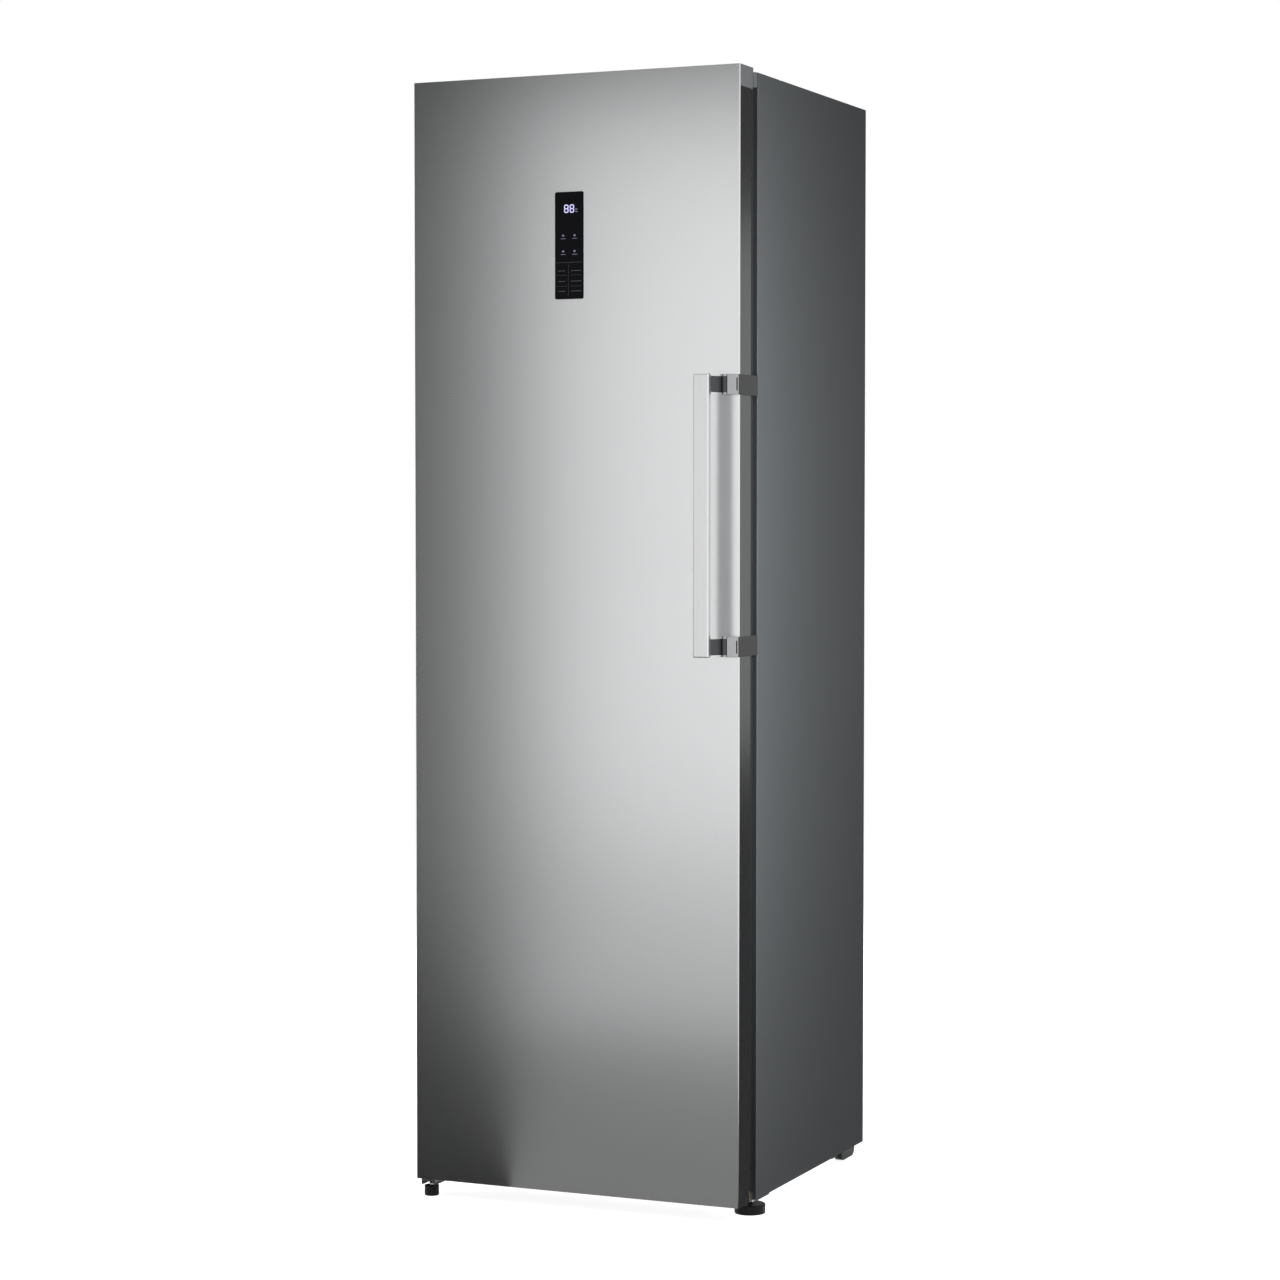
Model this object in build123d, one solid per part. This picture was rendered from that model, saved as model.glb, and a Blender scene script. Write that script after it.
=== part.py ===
"""Upright freezer, 595 x 667 x 1898 mm, door hung on the left.

Frame: origin on the floor under the middle of the whole object, +X towards the handle side,
-Y towards the front, +Z up. Millimetres.
"""
from build123d import *
import math
import os

# ---- overall ---------------------------------------------------------------------------------
WIDTH = 595.0                # cabinet and door
HEIGHT = 1898.0              # floor to the door's top
DOOR_T = 58.0                # door, front face to back plane
DOOR_GAP = 21.0              # door's back plane to the cabinet's front
CABINET_D = 530.0            # cabinet, front flange to back
HANDLE_PROUD = 58.0          # handle bar's front face ahead of the door
CLAMP_PROUD = 4.0            # handle clamps beyond the door's free side
DOOR_CLEAR = 31.0            # floor to the door's bottom
CABINET_CLEAR = 30.0         # floor to the cabinet's bottom
TOP_DROP = 5.0               # cabinet's top below the door's top
FIT = 0.3                    # clearance between moving or seated pieces
TOUCH = 0.1                  # clearance of a piece in the hole that holds it
RUNNING = 0.05               # radial clearance of a running fit

# ---- cabinet ---------------------------------------------------------------------------------
SHEET = 0.8                  # painted steel
SHEET_BEND = 1.6             # outer radius of its folds
FRONT_FLANGE = 36.0          # steel front face on each side of the opening
REAR_FLANGE = 15.0
LIP_DROP = 2.0               # side panel's lip at the front of its lower edge
LIP_LENGTH = 60.0
COVER_H = 24.0               # front cover of the top
COVER_D = 100.0
COVER_PROUD = 8.0            # its nose ahead of the cabinet's front
COVER_WALL = 2.5
TOP_SLIT = 6.0               # slit between the cover and the top panel
SLIT_DEPTH = 1.5
WALL_SIDE = 62.0             # insulated walls, outside to inside
WALL_TOP = 58.0
WALL_BACK = 62.0
WALL_FLOOR = 62.0
LINER_T = 1.2
LINER_FLANGE = 14.0          # liner's front face above and below the opening
CROSS_D = 40.0               # front crossmember
CROSS_H = 30.0
CROSS_T = 1.5
COMP_D = 200.0               # machine compartment
COMP_H = 220.0
HUMP_WALL = 50.0             # insulation over and before it
DECK_T = 1.5
DECK_LIP = 12.0
REAR_COVER_T = 1.0
LOUVRES = 9
LOUVRE = (150.0, 4.0)        # slot width and height
LOUVRE_PITCH = 14.0
LOUVRE_X = 100.0             # each row of slots from the middle

# ---- shelves and drawers ---------------------------------------------------------------------
SHELVES = 6
FIRST_SHELF = 284.0          # top of the lowest glass above the cabinet's bottom
TOP_ROOM = 236.0             # cavity above the top glass
GLASS_T = 4.0
SHELF_SET = 50.0             # glass's front edge behind the cabinet's front
TRIM_T = 6.0
TRIM_H = 14.0
TRIM_TAB = 12.0
TRIM_TAB_T = 3.0
LEDGE_W = 12.0
LEDGE_H = 6.0
LEDGE_SET = 3.0              # ledge's front end behind the glass's front edge
DRAWER_SET = 60.0            # drawer front behind the cabinet's front
DRAWER_SIDE = 15.5           # drawer side to the liner's wall
DRAWER_WALL = 2.5
DRAWER_FRONT_T = 4.0
DRAWER_HEADROOM = 4.0
DRAWER_BACK_CLEAR = 5.0
DRAWER_SIDE_DROP = 30.0      # sides lower than the front
DRAWER_RADIUS = 10.0
GRIP = (130.0, 24.0)         # grip slot, width and height
GRIP_DOWN = 18.0             # slot's top below the drawer's top
GRIP_LIP = 14.0              # lip ahead of the slot's upper edge
GRIP_LIP_SIDE = 10.0         # lip beyond each end of the slot

# ---- cold air side ---------------------------------------------------------------------------
DUCT_D = 75.0                # duct cover ahead of the back wall
DUCT_T = 2.5
DUCT_SIDE = 1.5
VENT = (70.0, 7.0)
VENT_X = 110.0
FAN_DOWN = 150.0             # fan's centre below the cavity's ceiling
FAN_D = 110.0
HUB_D = 38.0
HUB_L = 20.0
FAN_BLADES = 5
BLADE_T = 2.0
BLADE_CHORD = 26.0
BLADE_PITCH = 35.0
FAN_SHAFT_D = 4.0
MOTOR_D = 56.0
MOTOR_L = 28.0
MOTOR_ROUND = 2.0
MOTOR_FOOT = (112.0, 24.0, 3.0)  # width, height and thickness
GRILLE_SLOTS = 9
GRILLE_SLOT = 6.0
GRILLE_PITCH = 12.0
EVAP_SIDE = 45.5             # outermost fins to the cavity's side walls
EVAP_H = 300.0
EVAP_D = 56.0
EVAP_Z = 400.0               # its bottom above the cabinet's bottom
FINS = 24
FIN_T = 0.8
EVAP_TUBE_D = 8.0
EVAP_TUBES = 6
HEATER_D = 12.0
HEATER_DROP = 16.0
DRAIN_D = 16.0
DRAIN_BORE = 11.0
DRAIN_FLANGE_D = 28.0
DRAIN_FLANGE_T = 1.5
DRAIN_BACK = 90.0            # drain's centre ahead of the cabinet's back
LAMP_W = 160.0
LAMP_D = 24.0
LAMP_H = 5.0
LAMP_SET = 30.0

# ---- machine compartment ---------------------------------------------------------------------
SHELL_D = 150.0              # compressor's welded shell
SHELL_H = 142.0
SHELL_ROUND = 38.0
SHELL_SEAM = 3.0             # weld seam's height, and twice what it stands proud
SHELL_X = 95.0               # its centre to the right of the middle
COMP_BACK = 98.0             # its centre ahead of the back
FOOT_PLATE = (190.0, 120.0, 3.0)
GROMMET_D = 24.0
GROMMET_H = 12.0
GROMMET_X = 80.0
GROMMET_Y = 46.0
TERMINAL = (12.0, 24.0)      # terminal box, proud of the shell and half its height
STUB_L = 12.0
TRAY = (210.0, 130.0, 22.0)
TRAY_WALL = 2.0
TRAY_ROUND = 10.0
TRAY_LEFT = 130.2             # its left end from the compressor's centre
COIL_TUBE_D = 5.0
COIL_RUNS = 8
COIL_PITCH = 18.0
COIL_W = 190.0
COIL_BANKS = 4
COIL_BANK_PITCH = 26.0
COIL_IN = 117.5              # its centre in from the cabinet's left side
PLATE_T = 1.0
LINE_D = 6.0
DRIER_D = 18.0
DRIER_L = 70.0
LINE_RUN = 5                 # condenser run that the discharge line joins
DRIER_RUN = 2                # and the run that the drier is level with
BOX = (62.0, 66.0, 120.0)    # control box
BOX_LID = 3.0                # its lid's thickness and overhang
BOX_UP = 57.0                # above the cabinet's bottom
BOX_IN = 57.5                # its centre in from the cabinet's right side
GLAND_D = 22.0
GLAND_BORE = 9.0
GLAND_FLANGE_D = 28.0
GLAND_FLANGE_T = 3.0
GLAND_L = 18.0
GLAND_IN = 72.5              # its centre in from the cabinet's right side
GLAND_Z = 45.0

# ---- hinges and supports ---------------------------------------------------------------------
HINGE_IN = 19.0              # hinge axis in from the door's left side
HINGE_BACK = 20.0            # hinge axis behind the door's front
PIN_D = 8.0
PLATE_TOP_T = 3.0
PLATE_TOP_HALF = 9.0         # half width of the plate round the pin
PLATE_TOP_W = 66.0
PLATE_TOP_D = 58.0
PLATE_TOP_ROUND = 2.5
HINGE_CLEAR = 2.5            # door's recess beyond the plate round the pin
HINGE_WALL = 3.0             # door's front left standing ahead of that recess
TOP_COVER_H = 5.0
TOP_COVER_WALL = 2.5
TOP_PIN_L = 20.0
PLATE_LOW_T = 4.0
PLATE_LOW_HALF = 13.0
PLATE_LOW_W = 84.0
PLATE_LOW_D = 38.0
PLATE_LOW_LIP = 6.0
PLATE_LOW_LIP_T = 3.0
LOW_PIN_UP = 19.0            # into the door
LOW_PIN_END = 4.0            # thread's end above the floor
BUSH_D = 14.0
BUSH_L = 20.0
BUSH_FLANGE_D = 20.0
SCREW_D = 5.0
SCREW_HEAD_D = 9.0
SCREW_HEAD_H = 2.5
SCREW_L = 12.0
SCREW_SHARES = (0.25, 0.75)  # of the top bracket's width and depth
LOW_SCREWS = (16.8, 54.6)    # to the right of the hinge axis
BRACKET_SCREWS = (32.0, 46.0)  # to the left of the right foot
FOOT_LEFT_D = 25.0
FOOT_LEFT_H = 17.0
FOOT_ROUND = 1.5
FOOT_RIGHT_D = 52.0
FOOT_RIGHT_H = 16.0
FOOT_RIGHT_IN = 24.0         # its centre in from the right side
FOOT_RIGHT_BACK = 32.0       # and behind the cabinet's front
STEM_D = 8.0
STEM_TOP = 46.0
STEM_CLEAR = 1.0             # round the stem in the crossmember
BRACKET_T = 3.0
BRACKET_W = 40.0
BRACKET_LEG = 12.0           # its leg up the cabinet's front
BRACKET_REACH = 52.0         # its left end from the foot's centre
ROLLER_D = 26.0
ROLLER_W = 14.0
ROLLER_ROUND = 1.0
ROLLER_IN = 32.0
ROLLER_BACK = 34.5
AXLE_D = 6.0
HOUSING_L = 68.0
HOUSING_CHEEK = 8.0
HOUSING_BOTTOM = 5.0

# ---- door ------------------------------------------------------------------------------------
SKIN_FOLD = 49.0             # skin's side folds, from the front face
SKIN_BEND = 2.6
CAP_TAB = 35.0               # top cap's side tabs
CAP_T = 3.0
CAP_LOW_H = 20.0
HINGE_BLOCK = 45.0           # solid block of each cap at the hinge
EDGE_T = 2.5                 # liner's edge strip on the door's sides
RIM_CLEAR = 12.0             # door's raised rim to the cabinet's inner walls
RIM_W = 25.0
RIM_H = 35.0
RIM_ROUND = 6.0
GASKET_IN = 16.0             # gasket in from the sides and lower edge of the door
GASKET_TOP = 31.0
GASKET_W = 15.0
DISPLAY_W = 52.0
DISPLAY_H = 177.0
DISPLAY_DOWN = 194.6         # its top edge below the door's top
DISPLAY_LEFT = 7.0           # its middle to the left of the door's middle
DISPLAY_T = 3.0
DISPLAY_PROUD = 0.6
DISPLAY_R = 3.0
BOARD_T = 1.6
PLUG = (18.0, 6.0, 6.0)      # board's plug
POCKET_D = 16.0
POCKET_CLEAR = 1.5           # foam's pocket beyond the glass

# ---- handle ----------------------------------------------------------------------------------
BAR_L = 459.0
BAR_W = 27.5
BAR_T = 12.0
BAR_IN = 31.0                # bar's right edge in from the door's side
BAR_TOP_DOWN = 501.5         # bar's top below the door's top
BAR_ROUND = 2.2
PIVOT_IN = 20.5              # lever's pin in from the door's side
PIVOT_FRONT = 11.0           # and ahead of the door's front
KNUCKLE_R = 9.0
ARM_H = 26.0
ARM_IN = 1.0                 # arm's face meets the knuckle this far in from the pin
CLAMP_H = 33.0
CLAMP_FRONT = 20.0           # clamp's front face ahead of the door
CLAMP_BLOCK = 13.5           # clamp's block starts this far in from the side
CLAMP_BACK = 70.0            # clamp's rear end behind the door's front
CLAMP_ROUND = 8.0
CLAMP_WALL = 1.1
EAR_R = 8.5
BASE_IN = 31.0
BASE_T = 1.6
CHANNEL_H = 21.0
LEVER_PIN_D = 4.0
PUSHER_T = 2.0
PUSHER_H = 20.0
PUSHER_FRONT = 7.7
PUSHER_NOSE = 2.0            # its rear end behind the clamp's
TAB_T = 2.2
TAB_IN = 6.0
HEEL_T = 4.7
HEEL_H = 16.0
HEEL_GAP = 0.6
HEEL_IN = 2.0
SPRING_D = 8.4
SPRING_WIRE = 1.0
SPRING_TURNS = 6
SPRING_PITCH = 1.8

# ---- derived frame ---------------------------------------------------------------------------
XC = -CLAMP_PROUD / 2
XL = XC - WIDTH / 2
XR = XC + WIDTH / 2
DEPTH = HANDLE_PROUD + DOOR_T + DOOR_GAP + CABINET_D
YD = -DEPTH / 2 + HANDLE_PROUD
YDB = YD + DOOR_T
YC = YDB + DOOR_GAP
YB = YC + CABINET_D
ZC0 = CABINET_CLEAR
ZC1 = HEIGHT - TOP_DROP
ZD0 = DOOR_CLEAR
ZD1 = HEIGHT
STEP_Z = ZC1 - COVER_H

CAV_L = XL + WALL_SIDE
CAV_R = XR - WALL_SIDE
CAV_Y1 = YB - WALL_BACK
CAV_Z0 = ZC0 + WALL_FLOOR
CAV_Z1 = ZC1 - WALL_TOP
COMP_Y = YB - COMP_D
COMP_Z = ZC0 + COMP_H
HUMP_Y = COMP_Y - HUMP_WALL
HUMP_Z = COMP_Z + HUMP_WALL
FLANGE_Z0 = CAV_Z0 - LINER_FLANGE
FLANGE_Z1 = CAV_Z1 + LINER_FLANGE
DUCT_Y = CAV_Y1 - DUCT_D
SHELF_PITCH = (CAV_Z1 - TOP_ROOM - ZC0 - FIRST_SHELF) / (SHELVES - 1)
SHELF_TOPS = [ZC0 + FIRST_SHELF + SHELF_PITCH * i for i in range(SHELVES)]

HINGE_X = XL + HINGE_IN
HINGE_Y = YD + HINGE_BACK
PLATE_LOW_Z = CABINET_CLEAR - PLATE_LOW_T
DISPLAY_X = XC - DISPLAY_LEFT
PIVOT_X = XR - PIVOT_IN
PIVOT_Y = YD - PIVOT_FRONT
BAR_Z1 = ZD1 - BAR_TOP_DOWN
BAR_Z0 = BAR_Z1 - BAR_L
CLAMP_ZS = (BAR_Z0 + CLAMP_H / 2, BAR_Z1 - CLAMP_H / 2)
FOOT_X = XR - FOOT_RIGHT_IN
FOOT_Y = YC + FOOT_RIGHT_BACK
FAN_ZC = CAV_Z1 - FAN_DOWN
EVAP_W = CAV_R - CAV_L - 2 * EVAP_SIDE
FAN_Y = CAV_Y1 - FIT - MOTOR_L
SHELL_XC = XC + SHELL_X
SHELL_Y = YB - COMP_BACK
SHELL_Z = ZC0 + DECK_T + GROMMET_H
ROLLER_XS = (XL + ROLLER_IN, XR - ROLLER_IN)
ROLLER_Y = YB - ROLLER_BACK
ROLLER_Z = ROLLER_D / 2


# ---- helpers ---------------------------------------------------------------------------------
def block(x0, x1, y0, y1, z0, z1):
    """Box between two opposite corners."""
    return Pos((x0 + x1) / 2, (y0 + y1) / 2, (z0 + z1) / 2) * Box(x1 - x0, y1 - y0, z1 - z0)


def post(x, y, z0, z1, diameter):
    """Upright cylinder."""
    return Pos(x, y, (z0 + z1) / 2) * Cylinder(diameter / 2, z1 - z0)


def rod_x(x0, x1, y, z, diameter):
    """Cylinder along X."""
    return Pos((x0 + x1) / 2, y, z) * Rot(0, 90, 0) * Cylinder(diameter / 2, x1 - x0)


def rod_y(x, y0, y1, z, diameter):
    """Cylinder along Y."""
    return Pos(x, (y0 + y1) / 2, z) * Rot(90, 0, 0) * Cylinder(diameter / 2, y1 - y0)


def profile_z(points, z0, z1):
    """Closed outline in plan, extruded upwards."""
    face = make_face(Polyline(*points, close=True))
    return Pos(0, 0, z0) * extrude(face, z1 - z0)


def profile_x(points, x0, x1):
    """Closed outline of (y, z) points, extruded along X."""
    face = make_face(Plane.YZ * Polyline(*points, close=True))
    return Pos(x0, 0, 0) * extrude(face, x1 - x0, dir=(1, 0, 0))


def upright_edges(shape, x, y):
    """The vertical edges of a shape that stand at one place in plan."""
    found = []
    for edge in shape.edges().filter_by(Axis.Z):
        centre = edge.center()
        if abs(centre.X - x) < TOUCH and abs(centre.Y - y) < TOUCH:
            found.append(edge)
    return found


def ring(x0, x1, y0, y1, z0, z1, width):
    """Upright rectangular frame, y0 to y1 deep."""
    hole = block(x0 + width, x1 - width, y0, y1, z0 + width, z1 - width)
    return block(x0, x1, y0, y1, z0, z1) - hole


def serpentine(x0, x1, y, z0, runs, pitch, diameter):
    """Tube in level runs one above the other, joined by end bends."""
    points = []
    for run in range(runs):
        ends = [(x0, y, z0 + pitch * run), (x1, y, z0 + pitch * run)]
        points += ends if run % 2 == 0 else ends[::-1]
    return tube_path(points, pitch / 2 - TOUCH, diameter)


def tube_path(points, radius, diameter):
    """Round tube along straight runs with rounded corners."""
    path = FilletPolyline(*points, radius=radius)
    section = Plane(origin=path @ 0, z_dir=path % 0) * Circle(diameter / 2)
    return sweep(section, path=path)


# ---- cabinet ---------------------------------------------------------------------------------
def side_panel(side):
    """Steel side with front and rear edges folded in; side is -1 on the left and 1 on the right."""
    face = XC + side * WIDTH / 2
    inner = face - side * SHEET
    front_end = face - side * FRONT_FLANGE
    rear_end = face - side * REAR_FLANGE
    outline = [
        (face, YC),
        (face, YB),
        (rear_end, YB),
        (rear_end, YB - SHEET),
        (inner, YB - SHEET),
        (inner, YC + SHEET),
        (front_end, YC + SHEET),
        (front_end, YC),
    ]
    panel = profile_z(outline, ZC0, ZC1)
    folds = upright_edges(panel, face, YC) + upright_edges(panel, face, YB)
    panel = fillet(folds, SHEET_BEND)
    low, high = sorted((face, inner))
    lip = block(low, high, YC + SHEET_BEND, YC + LIP_LENGTH, ZC0 - LIP_DROP, ZC0)
    notch = block(low - TOUCH, high + TOUCH, YC + COVER_D, YC + COVER_D + TOP_SLIT, ZC1 - SLIT_DEPTH, ZC1)
    return panel + lip - notch


def top_panel():
    """Bent steel top: flat top, step down under the front cover, front flange above the opening."""
    start = YC + COVER_D + TOP_SLIT
    outline = [
        (YC + SHEET, STEP_Z),
        (start - SHEET, STEP_Z),
        (start - SHEET, ZC1),
        (YB - SHEET, ZC1),
        (YB - SHEET, ZC1 - SHEET),
        (start, ZC1 - SHEET),
        (start, STEP_Z - SHEET),
        (YC + SHEET, STEP_Z - SHEET),
    ]
    sheet = profile_x(outline, XL + SHEET, XR - SHEET)
    flange = block(XL + FRONT_FLANGE, XR - FRONT_FLANGE, YC, YC + SHEET, FLANGE_Z1, STEP_Z)
    return sheet + flange


def top_front_cover():
    """Moulded cover along the front of the top, with a nose that stands ahead of the front flange."""
    body = block(XL + SHEET, XR - SHEET, YC + SHEET, YC + COVER_D, STEP_Z, ZC1)
    nose = block(XL + SHEET_BEND, XR - SHEET_BEND, YC - COVER_PROUD, YC, STEP_Z, ZC1)
    nose = fillet(nose.edges().filter_by(Axis.X).group_by(Axis.Y)[0], COVER_WALL / 2)
    neck = block(XL + FRONT_FLANGE, XR - FRONT_FLANGE, YC, YC + SHEET, STEP_Z, ZC1)
    hollow = block(
        XL + FRONT_FLANGE + COVER_WALL, XR - FRONT_FLANGE - COVER_WALL,
        YC - COVER_PROUD + COVER_WALL, YC + COVER_D - COVER_WALL, STEP_Z, ZC1 - COVER_WALL)
    seats = [block(x - SCREW_HEAD_D, x + SCREW_HEAD_D, y - SCREW_HEAD_D, y + SCREW_HEAD_D, STEP_Z, ZC1)
             for x, y in top_screw_places()]
    cover = body + nose + neck - hollow
    for seat in seats:
        cover += seat
    for x, y in top_screw_places():
        cover -= post(x, y, STEP_Z, ZC1, SCREW_D + 2 * TOUCH)
    return cover


def back_panel():
    """Flat steel back above the machine compartment, seated inside the side panels' rear flanges."""
    return block(XL + SHEET, XR - SHEET, YB - 2 * SHEET, YB - SHEET, COMP_Z + SHEET, ZC1 - SHEET)


def base_panel():
    """Bent sheet under the insulation and round the machine compartment."""
    front = YC + CROSS_D
    outline = [
        (front, ZC0),
        (COMP_Y, ZC0),
        (COMP_Y, COMP_Z),
        (YB - SHEET, COMP_Z),
        (YB - SHEET, COMP_Z + SHEET),
        (COMP_Y - SHEET, COMP_Z + SHEET),
        (COMP_Y - SHEET, ZC0 + SHEET),
        (front, ZC0 + SHEET),
    ]
    sheet = profile_x(outline, XL + SHEET, XR - SHEET)
    return sheet - post(XC, YB - DRAIN_BACK, COMP_Z, COMP_Z + SHEET, DRAIN_D + 2 * TOUCH)


def base_crossmember():
    """Front rail that carries the lower hinge and the foot bracket."""
    outer = block(XL + SHEET, XR - SHEET, YC + SHEET, YC + CROSS_D, ZC0, ZC0 + CROSS_H)
    inner = block(XL, XR, YC + SHEET + CROSS_T, YC + CROSS_D, ZC0 + CROSS_T, ZC0 + CROSS_H - CROSS_T)
    face = block(XL + FRONT_FLANGE, XR - FRONT_FLANGE, YC, YC + SHEET, ZC0, FLANGE_Z0)
    rail = outer - inner + face
    for x, y in low_screw_places():
        rail -= post(x, y, ZC0, ZC0 + CROSS_T, SCREW_D)
    for x, y in foot_screw_places():
        rail -= post(x, y, ZC0, ZC0 + CROSS_T, SCREW_D)
    return rail - post(FOOT_X, FOOT_Y, ZC0, ZC0 + CROSS_T, STEM_D + 2 * STEM_CLEAR)


def liner_outer():
    """Outside of the inner liner, with the step over the machine compartment."""
    shell = block(CAV_L - LINER_T, CAV_R + LINER_T, YC, CAV_Y1 + LINER_T, CAV_Z0 - LINER_T, CAV_Z1 + LINER_T)
    hump = block(CAV_L - LINER_T, CAV_R + LINER_T, HUMP_Y + LINER_T, CAV_Y1 + LINER_T,
                 CAV_Z0 - LINER_T, HUMP_Z - LINER_T)
    return shell - hump


def cabinet_foam():
    """Rigid insulation that fills the space between the outer panels and the liner."""
    full = block(XL + SHEET, XR - SHEET, YC + SHEET, YB - 2 * SHEET, ZC0 + SHEET, ZC1 - SHEET)
    foam = full - liner_outer()
    foam -= block(XL, XR, COMP_Y - SHEET, YB, ZC0, COMP_Z + SHEET)
    foam -= block(XL, XR, YC, YC + COVER_D + TOP_SLIT, STEP_Z - SHEET, ZC1)
    foam -= block(XL, XR, YC, YC + CROSS_D, ZC0, ZC0 + CROSS_H)
    foam -= block(XL + FRONT_FLANGE, XR - FRONT_FLANGE, YC, YC + LINER_T, ZC0, ZC1)
    return foam - post(XC, YB - DRAIN_BACK, COMP_Z, HUMP_Z, DRAIN_D + 2 * TOUCH)


def inner_liner():
    """White moulded cavity with a front flange and a ledge under each end of every shelf."""
    cavity = block(CAV_L, CAV_R, YC, CAV_Y1, CAV_Z0, CAV_Z1)
    cavity -= block(CAV_L, CAV_R, HUMP_Y, CAV_Y1, CAV_Z0, HUMP_Z)
    flange = block(XL + FRONT_FLANGE, XR - FRONT_FLANGE, YC, YC + LINER_T, FLANGE_Z0, FLANGE_Z1)
    liner = liner_outer() + flange - cavity
    for top in SHELF_TOPS:
        z1 = top - GLASS_T
        y0 = YC + SHELF_SET + LEDGE_SET
        liner += block(CAV_L - LINER_T / 2, CAV_L + LEDGE_W, y0, DUCT_Y - FIT, z1 - LEDGE_H, z1)
        liner += block(CAV_R - LEDGE_W, CAV_R + LINER_T / 2, y0, DUCT_Y - FIT, z1 - LEDGE_H, z1)
    drain = post(XC, YB - DRAIN_BACK, HUMP_Z - LINER_T, HUMP_Z, DRAIN_D + 2 * TOUCH)
    return liner - drain


def rear_cover():
    """Louvred plate over the machine compartment."""
    x0 = XL + REAR_FLANGE
    x1 = XR - REAR_FLANGE
    plate = block(x0, x1, YB - REAR_COVER_T, YB, ZC0 + DECK_T, COMP_Z)
    slot_w, slot_h = LOUVRE
    slots = []
    for centre in (XC - LOUVRE_X, XC + LOUVRE_X):
        for i in range(LOUVRES):
            z = ZC0 + COMP_H / 2 + (i - (LOUVRES - 1) / 2) * LOUVRE_PITCH
            slots.append(block(centre - slot_w / 2, centre + slot_w / 2, YB - REAR_COVER_T, YB,
                               z - slot_h / 2, z + slot_h / 2))
    plate = plate - slots
    plate -= rod_y(XR - GLAND_IN, YB - REAR_COVER_T, YB, ZC0 + GLAND_Z, GLAND_D)
    for x, z in rear_screw_places():
        plate -= rod_y(x, YB - REAR_COVER_T, YB, z, SCREW_D)
    return plate


# ---- shelves, drawers and lamp ---------------------------------------------------------------
def glass_shelves():
    """Tempered glass shelves on the liner's ledges."""
    side = FIT + TOUCH
    return [block(CAV_L + side, CAV_R - side, YC + SHELF_SET, DUCT_Y - FIT, top - GLASS_T, top)
            for top in SHELF_TOPS]


def shelf_trims():
    """Extruded trim along each shelf's front edge, with a tab under the glass."""
    trims = []
    for top in SHELF_TOPS:
        nose = block(CAV_L + FIT, CAV_R - FIT, YC + SHELF_SET - TRIM_T, YC + SHELF_SET, top - TRIM_H, top)
        nose = fillet(nose.edges().filter_by(Axis.X).group_by(Axis.Y)[0], TRIM_T / 3)
        tab = block(CAV_L + LEDGE_W + FIT, CAV_R - LEDGE_W - FIT, YC + SHELF_SET, YC + SHELF_SET + TRIM_TAB,
                    top - GLASS_T - TRIM_TAB_T, top - GLASS_T)
        trims.append(nose + tab)
    return trims


def drawer_space(index):
    """Lowest and highest z and the rear limit of one drawer."""
    if index == 0:
        return CAV_Z0 + FIT, SHELF_TOPS[0] - TRIM_H - DRAWER_HEADROOM, HUMP_Y - DRAWER_BACK_CLEAR
    z0 = SHELF_TOPS[index - 1] + FIT
    return z0, SHELF_TOPS[index] - TRIM_H - DRAWER_HEADROOM, DUCT_Y - DRAWER_BACK_CLEAR


def drawer(index):
    """Clear moulded drawer: tall front with a grip slot and lip, lower sides with a rolled rim."""
    z0, z1, y1 = drawer_space(index)
    x0 = CAV_L + DRAWER_SIDE
    x1 = CAV_R - DRAWER_SIDE
    y0 = YC + DRAWER_SET
    outer = block(x0, x1, y0, y1, z0, z1)
    outer = fillet(outer.edges().filter_by(Axis.Z), DRAWER_RADIUS)
    inner = block(x0 + DRAWER_WALL, x1 - DRAWER_WALL, y0 + DRAWER_FRONT_T, y1 - DRAWER_WALL,
                  z0 + DRAWER_WALL, z1)
    inner = fillet(inner.edges().filter_by(Axis.Z), DRAWER_RADIUS - DRAWER_WALL)
    body = outer - inner
    rim_z = z1 - DRAWER_SIDE_DROP
    body -= block(x0, x1, y0 + DRAWER_RADIUS + DRAWER_FRONT_T, y1, rim_z, z1)
    rim = block(x0 - DRAWER_WALL, x1 + DRAWER_WALL, y0 + DRAWER_RADIUS + DRAWER_FRONT_T, y1 + DRAWER_WALL,
                rim_z - DRAWER_WALL, rim_z)
    rim = fillet(rim.edges().filter_by(Axis.Z).group_by(Axis.Y)[-1], DRAWER_RADIUS + DRAWER_WALL)
    body += rim - block(x0 + DRAWER_WALL, x1 - DRAWER_WALL, y0, y1 - DRAWER_WALL, z0, z1)
    slot_w, slot_h = GRIP
    grip_z1 = z1 - GRIP_DOWN
    slot = block(XC - slot_w / 2, XC + slot_w / 2, y0, y0 + DRAWER_FRONT_T, grip_z1 - slot_h, grip_z1)
    lip = block(XC - slot_w / 2 - GRIP_LIP_SIDE, XC + slot_w / 2 + GRIP_LIP_SIDE,
                y0 - GRIP_LIP, y0, grip_z1, grip_z1 + DRAWER_WALL)
    lip = fillet(lip.edges().filter_by(Axis.Z).group_by(Axis.Y)[0], GRIP_LIP_SIDE / 2)
    return body - slot + lip


def lamp_lens():
    """Long lens of the cavity's lamp, on the ceiling."""
    y0 = YC + LAMP_SET
    lens = block(XC - LAMP_W / 2, XC + LAMP_W / 2, y0, y0 + LAMP_D, CAV_Z1 - LAMP_H, CAV_Z1)
    return fillet(lens.edges().group_by(Axis.Z)[0], LAMP_H / 2)


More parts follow.
